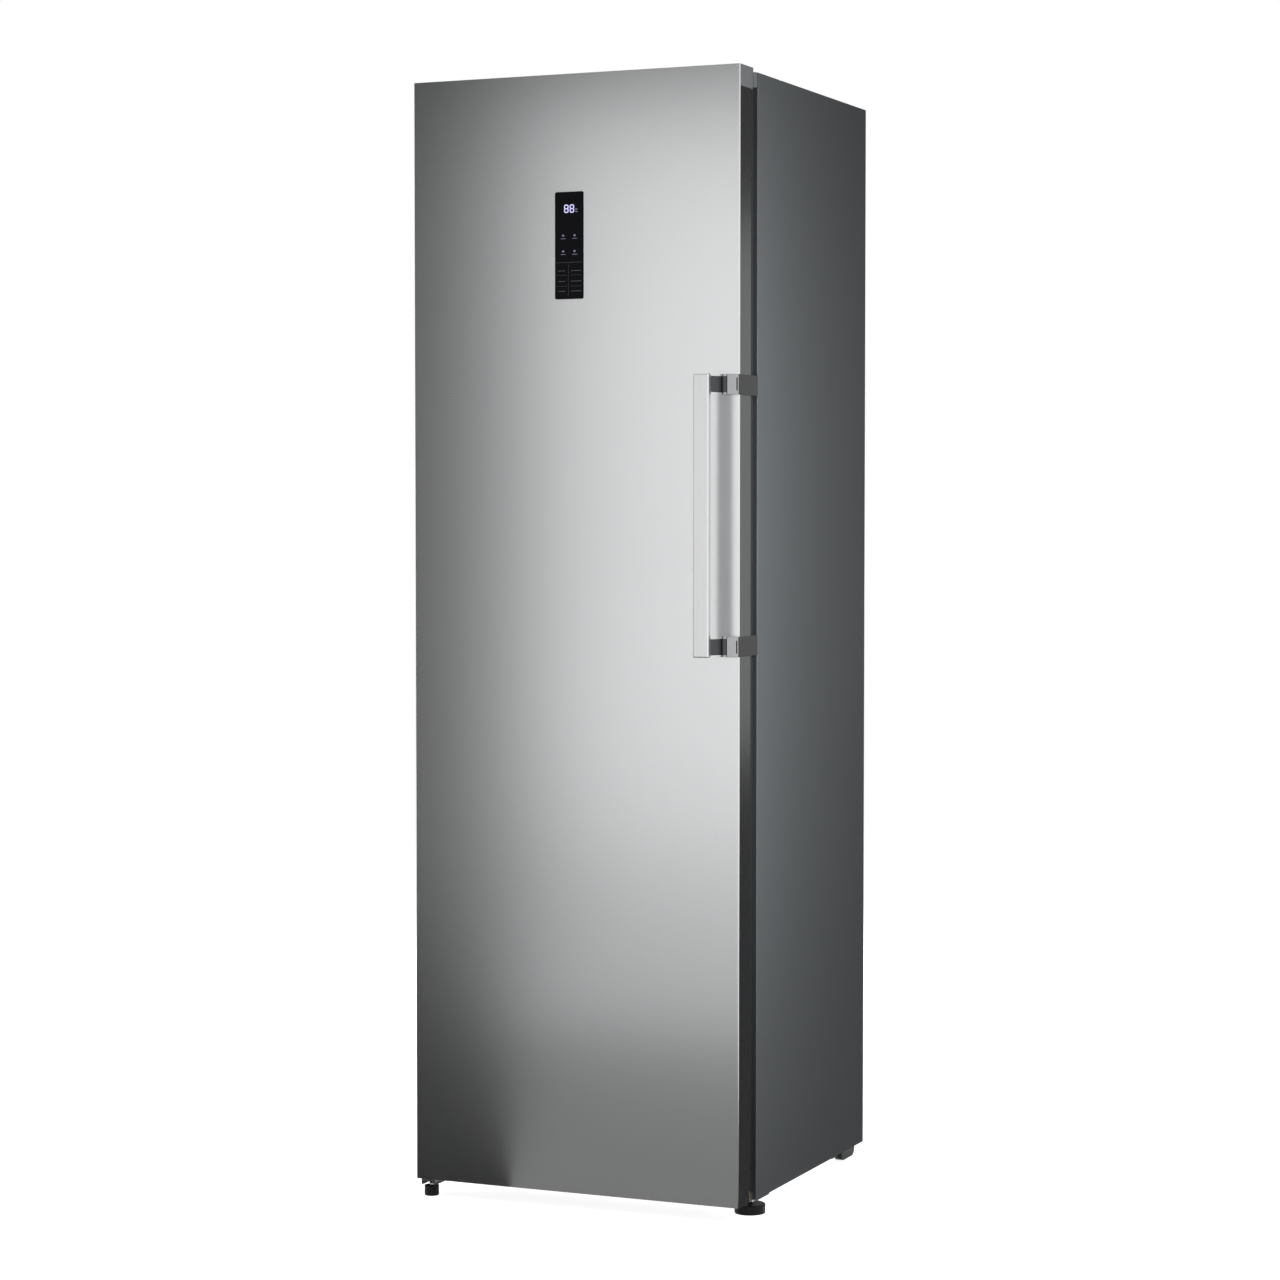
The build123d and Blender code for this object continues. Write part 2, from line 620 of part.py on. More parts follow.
# ---- cold air side ---------------------------------------------------------------------------
def air_duct_cover():
    """Panel in front of the evaporator, with vents into every compartment and a grille at the fan."""
    x0 = CAV_L + DUCT_SIDE
    x1 = CAV_R - DUCT_SIDE
    z0 = HUMP_Z + FIT
    z1 = CAV_Z1 - FIT
    outer = block(x0, x1, DUCT_Y, CAV_Y1 - FIT, z0, z1)
    inner = block(x0 + DUCT_T, x1 - DUCT_T, DUCT_Y + DUCT_T, CAV_Y1, z0, z1 - DUCT_T)
    cover = outer - inner
    vent_w, vent_h = VENT
    slots = []
    for top in SHELF_TOPS:
        z = top - TRIM_H - 2 * vent_h
        for x in (XC - VENT_X, XC + VENT_X):
            slots.append(block(x - vent_w / 2, x + vent_w / 2, DUCT_Y, DUCT_Y + DUCT_T, z, z + vent_h))
    for i in range(GRILLE_SLOTS):
        drop = (i - (GRILLE_SLOTS - 1) / 2) * GRILLE_PITCH
        half = math.sqrt((FAN_D / 2) ** 2 - drop ** 2)
        z = FAN_ZC + drop - GRILLE_SLOT / 2
        slots.append(block(XC - half, XC + half, DUCT_Y, DUCT_Y + DUCT_T, z, z + GRILLE_SLOT))
    return cover - slots


def fan_motor():
    """Motor of the evaporator's fan on a foot at the back wall, with its shaft."""
    back = CAV_Y1 - FIT
    body = rod_y(XC, FAN_Y, back, FAN_ZC, MOTOR_D)
    body = fillet(body.edges().group_by(Axis.Y)[0], MOTOR_ROUND)
    width, height, thick = MOTOR_FOOT
    foot = block(XC - width / 2, XC + width / 2, back - thick, back, FAN_ZC - height / 2, FAN_ZC + height / 2)
    shaft = rod_y(XC, FAN_Y - HUB_L, FAN_Y, FAN_ZC, FAN_SHAFT_D)
    return body + foot + shaft


def fan_impeller():
    """Axial impeller: hub with pitched blades."""
    hub_y1 = FAN_Y - 2 * FIT
    hub_y0 = hub_y1 - HUB_L
    wheel = rod_y(XC, hub_y0, hub_y1, FAN_ZC, HUB_D)
    reach = FAN_D / 2 - HUB_D / 2 + BLADE_T
    for i in range(FAN_BLADES):
        blade = Box(BLADE_CHORD, BLADE_T, reach)
        blade = Pos(0, 0, HUB_D / 2 - BLADE_T + reach / 2) * Rot(0, 0, BLADE_PITCH) * blade
        blade = Rot(0, 360 / FAN_BLADES * i, 0) * blade
        wheel += Pos(XC, (hub_y0 + hub_y1) / 2, FAN_ZC) * blade
    bore = rod_y(XC, FAN_Y - HUB_L - FIT, FAN_Y, FAN_ZC, FAN_SHAFT_D + 2 * RUNNING)
    return wheel - bore


def evaporator():
    """Finned coil: thin upright fins on level tubes joined by end bends."""
    x0 = XC - EVAP_W / 2
    y1 = CAV_Y1 - FIT
    z0 = ZC0 + EVAP_Z
    step = (EVAP_W - FIN_T) / (FINS - 1)
    fins = [block(x0 + step * i, x0 + step * i + FIN_T, y1 - EVAP_D, y1, z0, z0 + EVAP_H)
            for i in range(FINS)]
    rise = EVAP_H / EVAP_TUBES
    coil = serpentine(x0 - rise / 2, x0 + EVAP_W + rise / 2, y1 - EVAP_D / 2, z0 + rise / 2, EVAP_TUBES, rise,
                      EVAP_TUBE_D)
    for fin in fins:
        coil += fin
    return coil


def defrost_heater():
    """Heating tube under the evaporator, hung from it by two clips."""
    z = ZC0 + EVAP_Z - HEATER_DROP
    y = CAV_Y1 - FIT - EVAP_D / 2
    tube = rod_x(XC - EVAP_W / 2, XC + EVAP_W / 2, y, z, HEATER_D)
    for side in (-1, 1):
        x = XC + side * (EVAP_W / 2 - HEATER_D)
        tube += block(x - HEATER_D / 2, x + HEATER_D / 2, y - HEATER_D, y + HEATER_D,
                      z - HEATER_D, z + HEATER_DROP)
    return tube


def drain_tube():
    """Defrost water drain from the cavity through the insulation, over the drip tray."""
    y = YB - DRAIN_BACK
    z0 = COMP_Z - DRAIN_D
    z1 = HUMP_Z + DRAIN_FLANGE_T
    tube = post(XC, y, z0, z1, DRAIN_D) + post(XC, y, HUMP_Z, z1, DRAIN_FLANGE_D)
    return tube - post(XC, y, z0, z1, DRAIN_BORE)


# ---- machine compartment ---------------------------------------------------------------------
def compressor_deck():
    """Steel tray that carries the compressor and the rollers."""
    y0 = COMP_Y + FIT
    y1 = YB - REAR_COVER_T - SHEET
    deck = block(XL + SHEET, XR - SHEET, y0, y1, ZC0, ZC0 + DECK_T)
    deck += block(XL + REAR_FLANGE, XR - REAR_FLANGE, y0, y0 + DECK_T, ZC0, ZC0 + DECK_LIP)
    return deck + block(XL + REAR_FLANGE, XR - REAR_FLANGE, y1, YB, ZC0, ZC0 + DECK_T)


def grommet_places():
    """Centres of the compressor's four mounts."""
    return [(SHELL_XC + i * GROMMET_X, SHELL_Y + j * GROMMET_Y) for i in (-1, 1) for j in (-1, 1)]


def compressor():
    """Welded hermetic shell on a foot plate, with two pipe stubs and a terminal box."""
    width, depth, thick = FOOT_PLATE
    plate = block(SHELL_XC - width / 2, SHELL_XC + width / 2, SHELL_Y - depth / 2, SHELL_Y + depth / 2,
                  SHELL_Z, SHELL_Z + thick)
    shell = post(SHELL_XC, SHELL_Y, SHELL_Z, SHELL_Z + SHELL_H, SHELL_D)
    shell = fillet(shell.edges().filter_by(GeomType.CIRCLE), SHELL_ROUND)
    middle = SHELL_Z + SHELL_H / 2
    seam = post(SHELL_XC, SHELL_Y, middle, middle + SHELL_SEAM, SHELL_D + SHELL_SEAM)
    box_x = SHELL_XC + SHELL_D / 2
    proud, half = TERMINAL
    terminal = block(box_x - half, box_x + proud, SHELL_Y - half, SHELL_Y + half,
                     middle - half, middle + half)
    stub = rod_x(SHELL_XC - SHELL_D / 2 - STUB_L, SHELL_XC, SHELL_Y, SHELL_Z + SHELL_H / 4 + LINE_D, LINE_D)
    return plate + shell + seam + terminal + stub


def compressor_grommets():
    """Rubber mounts under the compressor's foot plate."""
    return [post(x, y, ZC0 + DECK_T, ZC0 + DECK_T + GROMMET_H, GROMMET_D) for x, y in grommet_places()]


def drip_tray():
    """Open tray on top of the compressor, under the drain."""
    width, depth, height = TRAY
    x0 = SHELL_XC - TRAY_LEFT
    z0 = SHELL_Z + SHELL_H
    outer = block(x0, x0 + width, SHELL_Y - depth / 2, SHELL_Y + depth / 2, z0, z0 + height)
    outer = fillet(outer.edges().filter_by(Axis.Z), TRAY_ROUND)
    inner = block(x0 + TRAY_WALL, x0 + width - TRAY_WALL, SHELL_Y - depth / 2 + TRAY_WALL,
                  SHELL_Y + depth / 2 - TRAY_WALL, z0 + TRAY_WALL, z0 + height)
    return outer - fillet(inner.edges().filter_by(Axis.Z), TRAY_ROUND - TRAY_WALL)


def condenser_place():
    """Left end, first bank's y and lowest run's z of the condenser."""
    y0 = YB - COMP_BACK - COIL_BANK_PITCH * (COIL_BANKS - 1) / 2
    return XL + COIL_IN - COIL_W / 2, y0, ZC0 + DECK_T + COIL_PITCH


def condenser():
    """Banks of serpentine tube held between two end plates that stand on the deck."""
    x0, y0, z0 = condenser_place()
    coil = None
    for bank in range(COIL_BANKS):
        y = y0 + COIL_BANK_PITCH * bank
        tube = serpentine(x0, x0 + COIL_W, y, z0, COIL_RUNS, COIL_PITCH, COIL_TUBE_D)
        coil = tube if coil is None else coil + tube
    high = z0 + COIL_PITCH * COIL_RUNS
    y1 = y0 + COIL_BANK_PITCH * (COIL_BANKS - 1)
    for x in (x0 + COIL_PITCH, x0 + COIL_W - COIL_PITCH):
        coil += block(x - PLATE_T / 2, x + PLATE_T / 2, y0 - COIL_PITCH, y1 + COIL_PITCH, ZC0 + DECK_T, high)
    return coil


def refrigerant_lines():
    """Discharge line from the compressor to the condenser, and the filter drier with its line."""
    x0, y0, z0 = condenser_place()
    stub_x = SHELL_XC - SHELL_D / 2 - STUB_L
    stub_z = SHELL_Z + SHELL_H / 4 + LINE_D
    coil_x = x0 + COIL_W + FIT
    join_z = z0 + COIL_PITCH * LINE_RUN
    discharge = tube_path(
        [(stub_x, SHELL_Y, stub_z), (stub_x - 2 * LINE_D, SHELL_Y, stub_z),
         (stub_x - 2 * LINE_D, SHELL_Y, join_z), (coil_x, SHELL_Y, join_z)],
        LINE_D, LINE_D)
    wall = COMP_Y + TOUCH
    y = wall + DRIER_D / 2
    drier_z = z0 + COIL_PITCH * DRIER_RUN
    drier_x = XC - COIL_PITCH
    drier = rod_x(drier_x, drier_x + DRIER_L, y, drier_z, DRIER_D)
    drier = fillet(drier.edges().filter_by(GeomType.CIRCLE), DRIER_D / 3)
    tail = rod_x(drier_x - DRIER_L, drier_x + TOUCH, y, drier_z, LINE_D)
    return [discharge, drier + tail]


def control_box():
    """Closed box of the control electronics on the compartment's front wall."""
    width, depth, height = BOX
    x0 = XR - BOX_IN - width / 2
    z0 = ZC0 + BOX_UP
    box = block(x0, x0 + width, COMP_Y, COMP_Y + depth, z0, z0 + height)
    box = fillet(box.edges().filter_by(Axis.Y), BOX_LID)
    lid = block(x0 - BOX_LID, x0 + width + BOX_LID, COMP_Y + depth - 2 * BOX_LID, COMP_Y + depth - BOX_LID,
                z0 - BOX_LID, z0 + height + BOX_LID)
    return box + lid


def power_inlet():
    """Gland of the mains lead in the rear cover."""
    x = XR - GLAND_IN
    z = ZC0 + GLAND_Z
    sleeve = rod_y(x, YB - GLAND_L, YB, z, GLAND_D - 2 * TOUCH)
    collar = rod_y(x, YB - REAR_COVER_T - GLAND_FLANGE_T, YB - REAR_COVER_T, z, GLAND_FLANGE_D)
    return sleeve + collar - rod_y(x, YB - GLAND_L, YB, z, GLAND_BORE)


# ---- hinges and supports ---------------------------------------------------------------------
def top_screw_places():
    """Screws of the top hinge bracket."""
    x0 = HINGE_X - PLATE_TOP_HALF
    return [(x0 + i * PLATE_TOP_W, YC + j * PLATE_TOP_D) for i in SCREW_SHARES for j in SCREW_SHARES]


def low_screw_places():
    """Screws of the lower hinge bracket."""
    y = YC + CROSS_D / 2
    return [(HINGE_X + reach, y) for reach in LOW_SCREWS]


def foot_screw_places():
    """Screws of the right foot's bracket."""
    return [(FOOT_X - reach, FOOT_Y) for reach in BRACKET_SCREWS]


def rear_screw_places():
    """Screws of the rear cover, as x and z."""
    xs = (XL + REAR_FLANGE + SCREW_HEAD_D, XC, XR - REAR_FLANGE - SCREW_HEAD_D)
    zs = (ZC0 + SCREW_HEAD_D, COMP_Z - SCREW_HEAD_D)
    return [(x, z) for x in xs for z in zs]


def top_hinge_bracket():
    """Plate on the cabinet that reaches over the door's corner to the hinge pin."""
    z0 = ZC1
    z1 = ZC1 + PLATE_TOP_T
    x0 = HINGE_X - PLATE_TOP_HALF
    wide = block(x0, x0 + PLATE_TOP_W, YC + FIT, YC + PLATE_TOP_D, z0, z1)
    wide = fillet(wide.edges().filter_by(Axis.Z), PLATE_TOP_ROUND)
    arm = block(x0, HINGE_X + PLATE_TOP_HALF, HINGE_Y, YC + PLATE_TOP_D / 2, z0, z1)
    plate = wide + arm + post(HINGE_X, HINGE_Y, z0, z1, 2 * PLATE_TOP_HALF)
    plate -= post(HINGE_X, HINGE_Y, z0, z1, PIN_D)
    for x, y in top_screw_places():
        plate -= post(x, y, z0, z1, SCREW_HEAD_D)
    return plate


def top_hinge_cover():
    """Thin plastic lid over the bracket's wide part."""
    x0 = HINGE_X - PLATE_TOP_HALF - TOP_COVER_WALL
    x1 = HINGE_X - PLATE_TOP_HALF + PLATE_TOP_W + TOP_COVER_WALL
    y1 = YC + PLATE_TOP_D + TOP_COVER_WALL
    lid = block(x0, x1, YC - FIT, y1, ZC1, ZC1 + TOP_COVER_H)
    lid = fillet(lid.edges().filter_by(Axis.Z), TOP_COVER_WALL)
    lid = fillet(lid.edges().group_by(Axis.Z)[-1], TOP_COVER_WALL / 2)
    pocket = block(HINGE_X - PLATE_TOP_HALF - FIT, HINGE_X - PLATE_TOP_HALF + PLATE_TOP_W + FIT,
                   YC - FIT, YC + PLATE_TOP_D + FIT, ZC1, ZC1 + PLATE_TOP_T + FIT)
    front = block(HINGE_X + PLATE_TOP_HALF + FIT, x1, YC - FIT, YC, ZC1, ZC1 + PLATE_TOP_T + FIT)
    return lid - pocket + front


def bottom_hinge_bracket():
    """Plate under the crossmember that reaches under the door's corner, with turned-down lips."""
    z1 = CABINET_CLEAR
    z0 = PLATE_LOW_Z
    wide = block(HINGE_X - PLATE_LOW_HALF, HINGE_X - PLATE_LOW_HALF + PLATE_LOW_W, YC + FIT,
                 YC + PLATE_LOW_D, z0, z1)
    arm = block(HINGE_X - PLATE_LOW_HALF, HINGE_X + PLATE_LOW_HALF,
                HINGE_Y - PLATE_LOW_HALF, YC + PLATE_LOW_D, z0, z1)
    lips = block(HINGE_X - PLATE_LOW_HALF, HINGE_X + PLATE_LOW_HALF, HINGE_Y - PLATE_LOW_HALF, YC,
                 z0 - PLATE_LOW_LIP, z0)
    lips -= block(HINGE_X - PLATE_LOW_HALF + PLATE_LOW_LIP_T, HINGE_X + PLATE_LOW_HALF - PLATE_LOW_LIP_T,
                  HINGE_Y - PLATE_LOW_HALF, YC, z0 - PLATE_LOW_LIP, z0)
    plate = wide + arm + lips
    plate -= post(HINGE_X, HINGE_Y, z0, z1, PIN_D)
    for x, y in low_screw_places():
        plate -= post(x, y, z0, z1, SCREW_HEAD_D)
    return plate


def hinge_pins():
    """Top pin down into the door; bottom pin up into the door and, threaded, down into the foot."""
    top = post(HINGE_X, HINGE_Y, ZC1 - TOP_PIN_L, ZC1 + PLATE_TOP_T, PIN_D)
    low = post(HINGE_X, HINGE_Y, LOW_PIN_END, CABINET_CLEAR + LOW_PIN_UP, PIN_D)
    return [top, low]


def screw(x, y, z, up):
    """Flat-headed screw whose head's face is at z; up is 1 when the head faces up."""
    head = post(x, y, *sorted((z, z - up * SCREW_HEAD_H)), SCREW_HEAD_D)
    shank = post(x, y, *sorted((z, z - up * SCREW_L)), SCREW_D)
    return head + shank


def cabinet_screws():
    """Screws of the hinge brackets, the foot bracket and the rear cover."""
    screws = [screw(x, y, ZC1 + PLATE_TOP_T, 1) for x, y in top_screw_places()]
    screws += [screw(x, y, PLATE_LOW_Z, -1) for x, y in low_screw_places()]
    screws += [screw(x, y, ZC0 - BRACKET_T, -1) for x, y in foot_screw_places()]
    for x, z in rear_screw_places():
        screws.append(rod_y(x, YB - REAR_COVER_T - SCREW_HEAD_H, YB, z, SCREW_D))
    return screws


def foot_bracket_right():
    """Angle under the crossmember that takes the right foot's stem, with a leg up the front."""
    x0 = FOOT_X - BRACKET_REACH
    x1 = FOOT_X + BRACKET_W / 2
    z0 = ZC0 - BRACKET_T
    plate = block(x0, x1, YC - BRACKET_T, FOOT_Y + BRACKET_W / 3, z0, ZC0)
    leg = block(FOOT_X - BRACKET_W / 4, x1 - BRACKET_T, YC - BRACKET_T, YC, ZC0, ZC0 + BRACKET_LEG)
    bracket = plate + leg - post(FOOT_X, FOOT_Y, z0, ZC0, STEM_D + 2 * RUNNING)
    for x, y in foot_screw_places():
        bracket -= post(x, y, z0, ZC0, SCREW_HEAD_D)
    return bracket


def foot_left():
    """Small levelling foot screwed on the lower hinge pin's thread."""
    foot = post(HINGE_X, HINGE_Y, 0, FOOT_LEFT_H, FOOT_LEFT_D)
    foot = fillet(foot.edges().group_by(Axis.Z)[0], FOOT_ROUND)
    bore = post(HINGE_X, HINGE_Y, LOW_PIN_END - FIT, FOOT_LEFT_H, PIN_D + 2 * RUNNING)
    return foot - bore


def foot_right():
    """Broad levelling foot with its stem."""
    disc = post(FOOT_X, FOOT_Y, 0, FOOT_RIGHT_H, FOOT_RIGHT_D)
    disc = fillet(disc.edges().filter_by(GeomType.CIRCLE), FOOT_ROUND)
    return disc + post(FOOT_X, FOOT_Y, FOOT_RIGHT_H / 2, STEM_TOP, STEM_D)


def roller_housings():
    """Moulded fork under each rear corner, with the axle across it."""
    housings = []
    for x in ROLLER_XS:
        half = ROLLER_W / 2 + FIT
        outer = block(x - half - HOUSING_CHEEK, x + half + HOUSING_CHEEK, ROLLER_Y - HOUSING_L / 2,
                      ROLLER_Y + HOUSING_L / 2, HOUSING_BOTTOM, ZC0)
        outer = fillet(outer.edges().filter_by(Axis.X).group_by(Axis.Z)[0], ROLLER_Z)
        well = block(x - half, x + half, ROLLER_Y - HOUSING_L / 2, ROLLER_Y + HOUSING_L / 2,
                     HOUSING_BOTTOM, ROLLER_D + 2 * FIT)
        axle = rod_x(x - half - HOUSING_CHEEK, x + half + HOUSING_CHEEK, ROLLER_Y, ROLLER_Z, AXLE_D)
        housings.append(outer - well + axle)
    return housings


def roller(x):
    """Rear roller."""
    wheel = rod_x(x - ROLLER_W / 2, x + ROLLER_W / 2, ROLLER_Y, ROLLER_Z, ROLLER_D)
    wheel = fillet(wheel.edges().filter_by(GeomType.CIRCLE), ROLLER_ROUND)
    return wheel - rod_x(x - ROLLER_W, x + ROLLER_W, ROLLER_Y, ROLLER_Z, AXLE_D + 2 * RUNNING)


# ---- door ------------------------------------------------------------------------------------
def hinge_recess():
    """Clearance in the door's top corner for the hinge plate, whatever the door's angle."""
    side = HINGE_X + PLATE_TOP_HALF + HINGE_CLEAR
    return block(XL, side, YD + HINGE_WALL, YDB, ZC1 - TOUCH, ZD1)


def door_skin():
    """Steel front folded back along both sides."""
    outer = block(XL, XR, YD, YD + SKIN_FOLD, ZD0, ZD1)
    outer = fillet(upright_edges(outer, XL, YD) + upright_edges(outer, XR, YD), SKIN_BEND)
    inner = block(XL + SHEET, XR - SHEET, YD + SHEET, YD + SKIN_FOLD, ZD0, ZD1)
    corners = upright_edges(inner, XL + SHEET, YD + SHEET) + upright_edges(inner, XR - SHEET, YD + SHEET)
    inner = fillet(corners, SKIN_BEND - SHEET)
    skin = outer - inner
    for x0, x1 in ((XL, XL + SHEET), (XR - SHEET, XR)):
        skin -= block(x0, x1, YD + SKIN_BEND, YD + SKIN_FOLD, ZD1 - CAP_TAB, ZD1)
    window = display_block(DISPLAY_W + 2 * FIT, DISPLAY_H + 2 * FIT, YD, YD + SHEET, DISPLAY_R + FIT)
    return skin - window


def display_block(width, height, y0, y1, radius):
    """Upright plate with rounded corners, centred on the display's place."""
    z = ZD1 - DISPLAY_DOWN - DISPLAY_H / 2
    plate = block(DISPLAY_X - width / 2, DISPLAY_X + width / 2, y0, y1, z - height / 2, z + height / 2)
    return fillet(plate.edges().filter_by(Axis.Y), radius)


def door_top_cap():
    """Moulded top cap with a side tab at each end and a block for the upper hinge bush."""
    y1 = YDB - LINER_T
    cap = block(XL, XR, YD + SHEET, y1, ZD1 - CAP_T, ZD1)
    for x0, x1 in ((XL, XL + CAP_T), (XR - CAP_T, XR)):
        cap += block(x0, x1, YD + SKIN_BEND, y1, ZD1 - CAP_TAB, ZD1)
    cap -= block(XL, XL + SKIN_BEND, YD, YD + SKIN_BEND, ZD1 - CAP_T, ZD1)
    cap -= block(XR - SKIN_BEND, XR, YD, YD + SKIN_BEND, ZD1 - CAP_T, ZD1)
    cap += block(XL + CAP_T, XL + HINGE_BLOCK, YD + SKIN_BEND, y1, ZD1 - CAP_TAB, ZD1 - CAP_T)
    cap -= hinge_recess()
    return cap - post(HINGE_X, HINGE_Y, ZC1 - TOUCH - BUSH_L, ZD1, BUSH_D)


def door_bottom_cap():
    """Moulded bottom cap inside the skin's folds, with a block for the lower hinge bush."""
    y1 = YDB - LINER_T
    x0 = XL + SHEET
    cap = block(x0, XR - SHEET, YD + SKIN_BEND, y1, ZD0, ZD0 + CAP_T)
    cap += block(x0, XL + HINGE_BLOCK, YD + SKIN_BEND, y1, ZD0, ZD0 + CAP_LOW_H)
    return cap - post(HINGE_X, HINGE_Y, ZD0, ZD0 + BUSH_L, BUSH_D)


def hinge_bushes():
    """Plain bushes in the caps; the lower one has the thrust flange that carries the door."""
    top = post(HINGE_X, HINGE_Y, ZC1 - TOUCH - BUSH_L, ZC1 - TOUCH, BUSH_D)
    low = post(HINGE_X, HINGE_Y, ZD0, ZD0 + CAP_LOW_H, BUSH_D)
    low += post(HINGE_X, HINGE_Y, CABINET_CLEAR + TOUCH, ZD0, BUSH_FLANGE_D)
    bore = PIN_D + 2 * RUNNING
    return [top - post(HINGE_X, HINGE_Y, ZC1 - TOP_PIN_L - 2 * TOUCH, ZC1, bore),
            low - post(HINGE_X, HINGE_Y, CABINET_CLEAR, ZD0 + CAP_LOW_H, bore)]


def rim_box(inset, width, y0, y1):
    """Frame of the door's raised rim, drawn in by inset on both sides."""
    frame = ring(CAV_L + RIM_CLEAR + inset, CAV_R - RIM_CLEAR - inset, y0, y1,
                 CAV_Z0 + RIM_CLEAR + inset, CAV_Z1 - RIM_CLEAR - inset, width)
    crest = frame.faces().sort_by(Axis.Y)[-1].edges()
    return fillet(crest, RIM_ROUND - inset)


def door_liner():
    """White moulded back of the door with its raised rim and the strips along the door's sides."""
    plate = block(XL, XR, YDB - LINER_T, YDB, ZD0, ZD1)
    rim = rim_box(0, RIM_W, YDB - LINER_T, YDB + RIM_H)
    core = rim_box(LINER_T, RIM_W - 2 * LINER_T, YDB - LINER_T, YDB + RIM_H - LINER_T)
    liner = plate + rim - core
    for x0, x1 in ((XL, XL + EDGE_T), (XR - EDGE_T, XR)):
        liner += block(x0, x1, YD + SKIN_FOLD, YDB, ZD0 + CAP_LOW_H, ZD1 - CAP_TAB)
    return liner - hinge_recess()


def door_foam():
    """Rigid insulation of the door, with the core of the rim."""
    foam = block(XL + SHEET, XR - SHEET, YD + SKIN_BEND, YDB - LINER_T, ZD0 + CAP_T, ZD1 - CAP_T)
    foam += rim_box(LINER_T, RIM_W - 2 * LINER_T, YDB - LINER_T, YDB + RIM_H - LINER_T)
    foam -= block(XL, XL + HINGE_BLOCK, YD, YDB, ZD0, ZD0 + CAP_LOW_H)
    foam -= block(XL, XL + HINGE_BLOCK, YD, YDB - LINER_T, ZD1 - CAP_TAB, ZD1)
    foam -= block(XR - CAP_T, XR, YD, YDB - LINER_T, ZD1 - CAP_TAB, ZD1)
    for x0, x1 in ((XL, XL + EDGE_T), (XR - EDGE_T, XR)):
        foam -= block(x0, x1, YD + SKIN_FOLD, YDB, ZD0, ZD1)
    return foam - display_block(DISPLAY_W + 2 * POCKET_CLEAR, DISPLAY_H + 2 * POCKET_CLEAR, YD, YD + POCKET_D,
                                DISPLAY_R)


def door_gasket():
    """Magnetic gasket round the door's back, up to the cabinet's front."""
    return ring(XL + GASKET_IN, XR - GASKET_IN, YDB, YC - FIT, ZD0 + GASKET_IN, ZD1 - GASKET_TOP, GASKET_W)


def display_glass():
    """Black glass of the display and its touch keys."""
    glass = display_block(DISPLAY_W, DISPLAY_H, YD - DISPLAY_PROUD, YD - DISPLAY_PROUD + DISPLAY_T, DISPLAY_R)
    return chamfer(glass.faces().sort_by(Axis.Y)[0].edges(), DISPLAY_PROUD / 2)


def display_board():
    """Circuit board behind the glass with its light modules and plug."""
    y0 = YD - DISPLAY_PROUD + DISPLAY_T + FIT
    board = display_block(DISPLAY_W, DISPLAY_H, y0 + BOARD_T, y0 + 2 * BOARD_T, DISPLAY_R)
    z = ZD1 - DISPLAY_DOWN
    digits = block(DISPLAY_X - DISPLAY_W / 4, DISPLAY_X + DISPLAY_W / 4, y0, y0 + BOARD_T,
                   z - 2 * DISPLAY_W / 3, z - DISPLAY_W / 4)
    keys = block(DISPLAY_X - DISPLAY_W / 3, DISPLAY_X + DISPLAY_W / 3, y0, y0 + BOARD_T,
                 z - 3 * DISPLAY_W, z - 2 * DISPLAY_W)
    width, depth, height = PLUG
    plug = Pos(DISPLAY_X, y0 + 2 * BOARD_T + depth / 2, z - DISPLAY_H / 2) * Box(width, depth, height)
    return board + digits + keys + plug


# ---- handle ----------------------------------------------------------------------------------
def handle_bar():
    """Flat upright bar."""
    x1 = XR - BAR_IN
    y0 = YD - HANDLE_PROUD
    bar = block(x1 - BAR_W, x1, y0, y0 + BAR_T, BAR_Z0, BAR_Z1)
    return fillet(bar.edges(), BAR_ROUND)


def handle_arm(z):
    """Slanted arm from the bar's back to a knuckle on the pin, with the heel that works the pusher."""
    bar_x1 = XR - BAR_IN
    back = YD - HANDLE_PROUD + BAR_T
    outline = [
        (bar_x1 - BAR_ROUND, back),
        (PIVOT_X - ARM_IN, PIVOT_Y - KNUCKLE_R + TOUCH),
        (PIVOT_X, PIVOT_Y),
        (PIVOT_X - KNUCKLE_R + TOUCH, PIVOT_Y),
        (bar_x1 - KNUCKLE_R, back),
    ]
    arm = profile_z(outline, z - ARM_H / 2, z + ARM_H / 2)
    arm += post(PIVOT_X, PIVOT_Y, z - ARM_H / 2, z + ARM_H / 2, 2 * KNUCKLE_R)
    heel_y1 = YD - PUSHER_FRONT - HEEL_GAP
    arm += block(PIVOT_X, XR - HEEL_IN, heel_y1 - HEEL_T, heel_y1, z - HEEL_H / 2, z + HEEL_H / 2)
    arm -= post(PIVOT_X, PIVOT_Y, z - ARM_H / 2, z + ARM_H / 2, LEVER_PIN_D + 2 * RUNNING)
    spring_room = SPRING_PITCH * SPRING_TURNS / 2 + SPRING_WIRE
    return arm - post(PIVOT_X, PIVOT_Y, z - spring_room, z + spring_room, SPRING_D + SPRING_WIRE + 2 * FIT)


